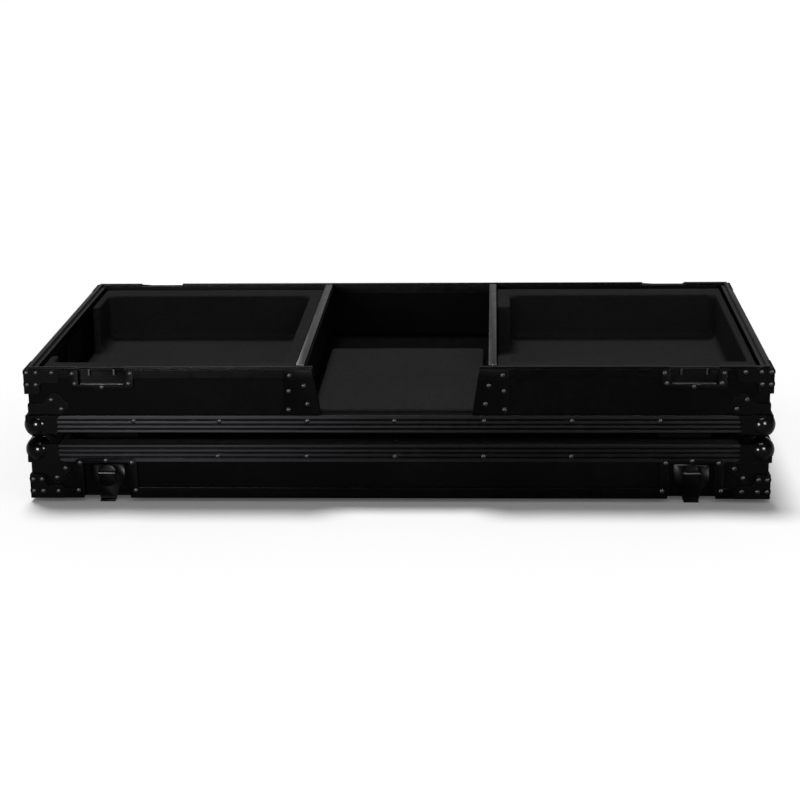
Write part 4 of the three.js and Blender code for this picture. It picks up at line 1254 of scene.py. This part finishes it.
# %% Where the rivets are
EDGING_ROW = 19.8 * MM  # from the closed face or from the side
EDGING_X = {"base": (-402, -270, -136, -3, 133, 266, 399), "lid": (-275, -138, -3, 132, 265)}
EDGING_Y = (-150, 0, 150)
LEAF_RIVETS = {"base": ((38, 52.5), (53, 38)), "lid": ((40, 55), (54, 40))}  # inwards both ways
BRACE_RIVETS = ((3.5, 0), (18, 0), (42, 0), (3.5, 19), (17, 19))  # from the corner, from the row
BRACE_ROW = {"base": BASE_SHOULDER - 4.7 * MM, "lid": LID_BOTTOM + 11 * MM}
LEAF_DEEP = INSET - FIT - LEAF_T
# From the middle of the keeper, and below the shoulder of the rim
KEEPER_RIVETS = ((-44.5, 6.1), (44.5, 6.1), (-41, 21.7), (41, 21.7), (0, 27.2))
# From the middle of the dish, and above the lid's rim
DISH_RIVETS = ((-40, 57), (40, 57), (0, 60.5), (-44.5, 12.5), (44.5, 12.5))
# From the middle of the case, below the shoulder, and behind the face of the rim
PLATE_RIVETS = ((161, 9.2, -1.8), (140, 26.3, 2.2), (163, 34.7, 2.2), (135, 55.1, 2.2),
                (164, 64, 2.2))
HANDLE_RIVETS = ((-58, -19), (58, -19), (-58, 19), (58, 19))
FLANGE_PROUD = FIT + SHEET


def edging_places(tray):
    closed_face, way = TRAYS[tray]
    row = closed_face + way * EDGING_ROW
    for x in EDGING_X[tray]:
        for sy in SIDES.values():
            yield on_front(x * MM, row, 0, sy)
            yield on_closed_face(tray, x * MM, sy * (HALF_D - EDGING_ROW), 0)
    for y in EDGING_Y:
        for sx in ENDS.values():
            yield on_end(y * MM, row, 0, sx)
            yield on_closed_face(tray, sx * (HALF_W - EDGING_ROW), y * MM, 0)


def corner_places(tray):
    closed_face, way = TRAYS[tray]
    for sx, sy in CORNERS.values():
        for a, b in LEAF_RIVETS[tray]:
            rise = closed_face + way * b * MM
            yield on_front(sx * (HALF_W - a * MM), rise, LEAF_DEEP, sy)
            yield on_end(sy * (HALF_D - a * MM), rise, LEAF_DEEP, sx)
            yield on_closed_face(tray, sx * (HALF_W - a * MM), sy * (HALF_D - b * MM), LEAF_DEEP)
        for a, drop in BRACE_RIVETS:
            height = BRACE_ROW[tray] - way * drop * MM
            yield on_front(sx * (HALF_W - a * MM), height, -BRACE_PROUD, sy)
            yield on_end(sy * (HALF_D - a * MM), height, -BRACE_PROUD, sx)


def fitting_places(tray):
    for sx, sy in CORNERS.values():
        if tray == "base":
            for x, drop in KEEPER_RIVETS:
                height = BASE_SHOULDER - drop * MM
                yield on_front(sx * LATCH_X + x * MM, height, -FLANGE_PROUD, sy)
        else:
            for x, rise in DISH_RIVETS:
                height = LID_BOTTOM + rise * MM
                yield on_front(sx * LATCH_X + x * MM, height, -FLANGE_PROUD, sy)
    if tray == "base":
        handle_low, handle_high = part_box("handle_dish_left")
        middle = (handle_low.z + handle_high.z) / 2
        for sx in ENDS.values():
            for x, drop, depth in PLATE_RIVETS:
                yield on_front(sx * x * MM, BASE_SHOULDER - drop * MM, depth * MM)
            for y, rise in HANDLE_RIVETS:
                yield on_end(y * MM, middle + rise * MM, LEG_T - SHEET, sx)


head = rivet_head(RIVET_R, RIVET_H)
for tray in TRAYS:
    places = [*edging_places(tray), *corner_places(tray), *fitting_places(tray)]
    made(scattered(head, places), f"{tray}_rivets", tray, RIVET_STEEL, "hardware", sharp=60)
    print(tray, "rivets:", len(places))

# %% [markdown]
# The stage is a plain white floor. The photograph's ground is pure white, but the case still
# throws a shadow on it, so nearly all of the floor's brightness comes from the light that falls
# on it. A little glow, which only the camera and reflections see, lifts it to pure white.

# %% Floor
FLOOR_HALF = 40.0
FLOOR_COLOUR = 0.95
FLOOR_GLOW = 0.06


def seen_directly(tree):
    """1 for the rays that show the background: from the camera, or by way of metal or glass."""
    path = add(tree, "LightPath").outputs
    seen = math_node(tree, "MAXIMUM", path["Is Camera Ray"], path["Is Glossy Ray"])
    return math_node(tree, "MAXIMUM", seen, path["Is Transmission Ray"])


def floor_finish():
    material, tree, shader = new_finish("studio_floor", (FLOOR_COLOUR,) * 3, 0.9, specular=0.0)
    shader.inputs["Emission Color"].default_value = (1, 1, 1, 1)
    glow = math_node(tree, "MULTIPLY", seen_directly(tree), FLOOR_GLOW)
    tree.links.new(glow, shader.inputs["Emission Strength"])
    return material


ground = bmesh.new()
bmesh.ops.create_grid(ground, x_segments=1, y_segments=1, size=FLOOR_HALF)
floor = in_scene("studio_floor", as_mesh(ground, "studio_floor"))
floor.data.materials.append(floor_finish())

# %% [markdown]
# The world is a weak grey light from all round. The camera and reflections see it white near the
# horizon, like the wall of a studio, and darker overhead.

# %% World
WORLD_LEVEL = 0.25
WALL_TOP = 0.45  # sine of the height at which the white has faded


def studio_world():
    world = bpy.data.worlds.new("studio")
    world.use_nodes = True
    tree = world.node_tree
    background = tree.nodes["Background"]
    up = add(tree, "SeparateXYZ", Vector=add(tree, "TexCoord").outputs["Generated"]).outputs["Z"]
    wall = add(tree, "MapRange", Value=up, From_Min=0.0, From_Max=WALL_TOP, To_Min=1.0,
               To_Max=WORLD_LEVEL).outputs["Result"]
    background.inputs["Color"].default_value = (1, 1, 1, 1)
    mix = add(tree, "Mix", {"data_type": "FLOAT"}, Factor=seen_directly(tree), in2=WORLD_LEVEL,
              in3=wall)
    tree.links.new(mix.outputs[0], background.inputs["Strength"])
    return world


bpy.context.scene.world = studio_world()

# %% [markdown]
# A wide, soft sun stands for the ceiling lights. It comes from a little behind and to the left,
# so the shadow falls to the front and the right, as in the photograph.

# %% Ceiling light
SUN_WAY = (-0.12, 0.30, 1.0)
SUN_WIDTH = math.radians(19)
SUN_LEVEL = 0.75  # of a white floor's brightness

sun = bpy.data.lights.new("ceiling_light", "SUN")
sun.angle = SUN_WIDTH
sun.energy = SUN_LEVEL * math.pi / Vector(SUN_WAY).normalized().z
sun_holder = in_scene("ceiling_light", sun)
sun_holder.matrix_world = Vector(SUN_WAY).to_track_quat("Z", "Y").to_matrix().to_4x4()

# %% [markdown]
# Each ball in the photograph carries two small highlights and a streak on top. Lines from the
# four balls at the front, bent at the highlights, cross where the lamps stood: one to the left
# of the camera, one nearer and to the right, and a long one overhead. A fourth lamp behind the
# case does the same for its back; it is high up, or it would glare on the tops of the rims.
# These lamps are small and hard, and make highlights only. What brightens the front is a wide,
# soft fill, which makes none. Light linking keeps all of them off the floor, so that they don't
# wash out the shadow.

# %% Lamps
LAMP_TARGET = Vector((0, 0, 0.1))
off_floor = bpy.data.collections.new("all_but_the_floor")
off_floor.objects.link(floor)
off_floor.collection_objects[0].light_linking.link_state = "EXCLUDE"


def lamp(name, place, width, depth, watts, highlights=True):
    """A rectangular lamp that looks at the case, for highlights or for the rest of the light."""
    light = bpy.data.lights.new(name, "AREA")
    light.shape = "RECTANGLE"
    light.size = width
    light.size_y = depth
    light.energy = watts
    holder = in_scene(name, light)
    turn = (LAMP_TARGET - Vector(place)).to_track_quat("-Z", "Y").to_matrix().to_4x4()
    holder.matrix_world = Matrix.Translation(place) @ turn
    holder.visible_camera = False
    holder.visible_glossy = highlights
    holder.visible_diffuse = not highlights
    holder.light_linking.receiver_collection = off_floor


lamp("lamp_left", (-0.70, -2.12, 0.50), 0.44, 0.44, 180)
lamp("lamp_right", (0.92, -1.42, 0.55), 0.32, 0.32, 60)
lamp("lamp_overhead", (0.35, -1.35, 2.0), 1.2, 0.20, 45)
lamp("lamp_behind", (-0.5, 1.1, 2.2), 0.4, 0.4, 90)
lamp("fill_front", (0.1, -3.0, 1.3), 2.0, 1.2, 22, highlights=False)

# %% [markdown]
# The picture is shown through the Standard view transform.

# %% View transform
bpy.context.scene.view_settings.view_transform = "Standard"
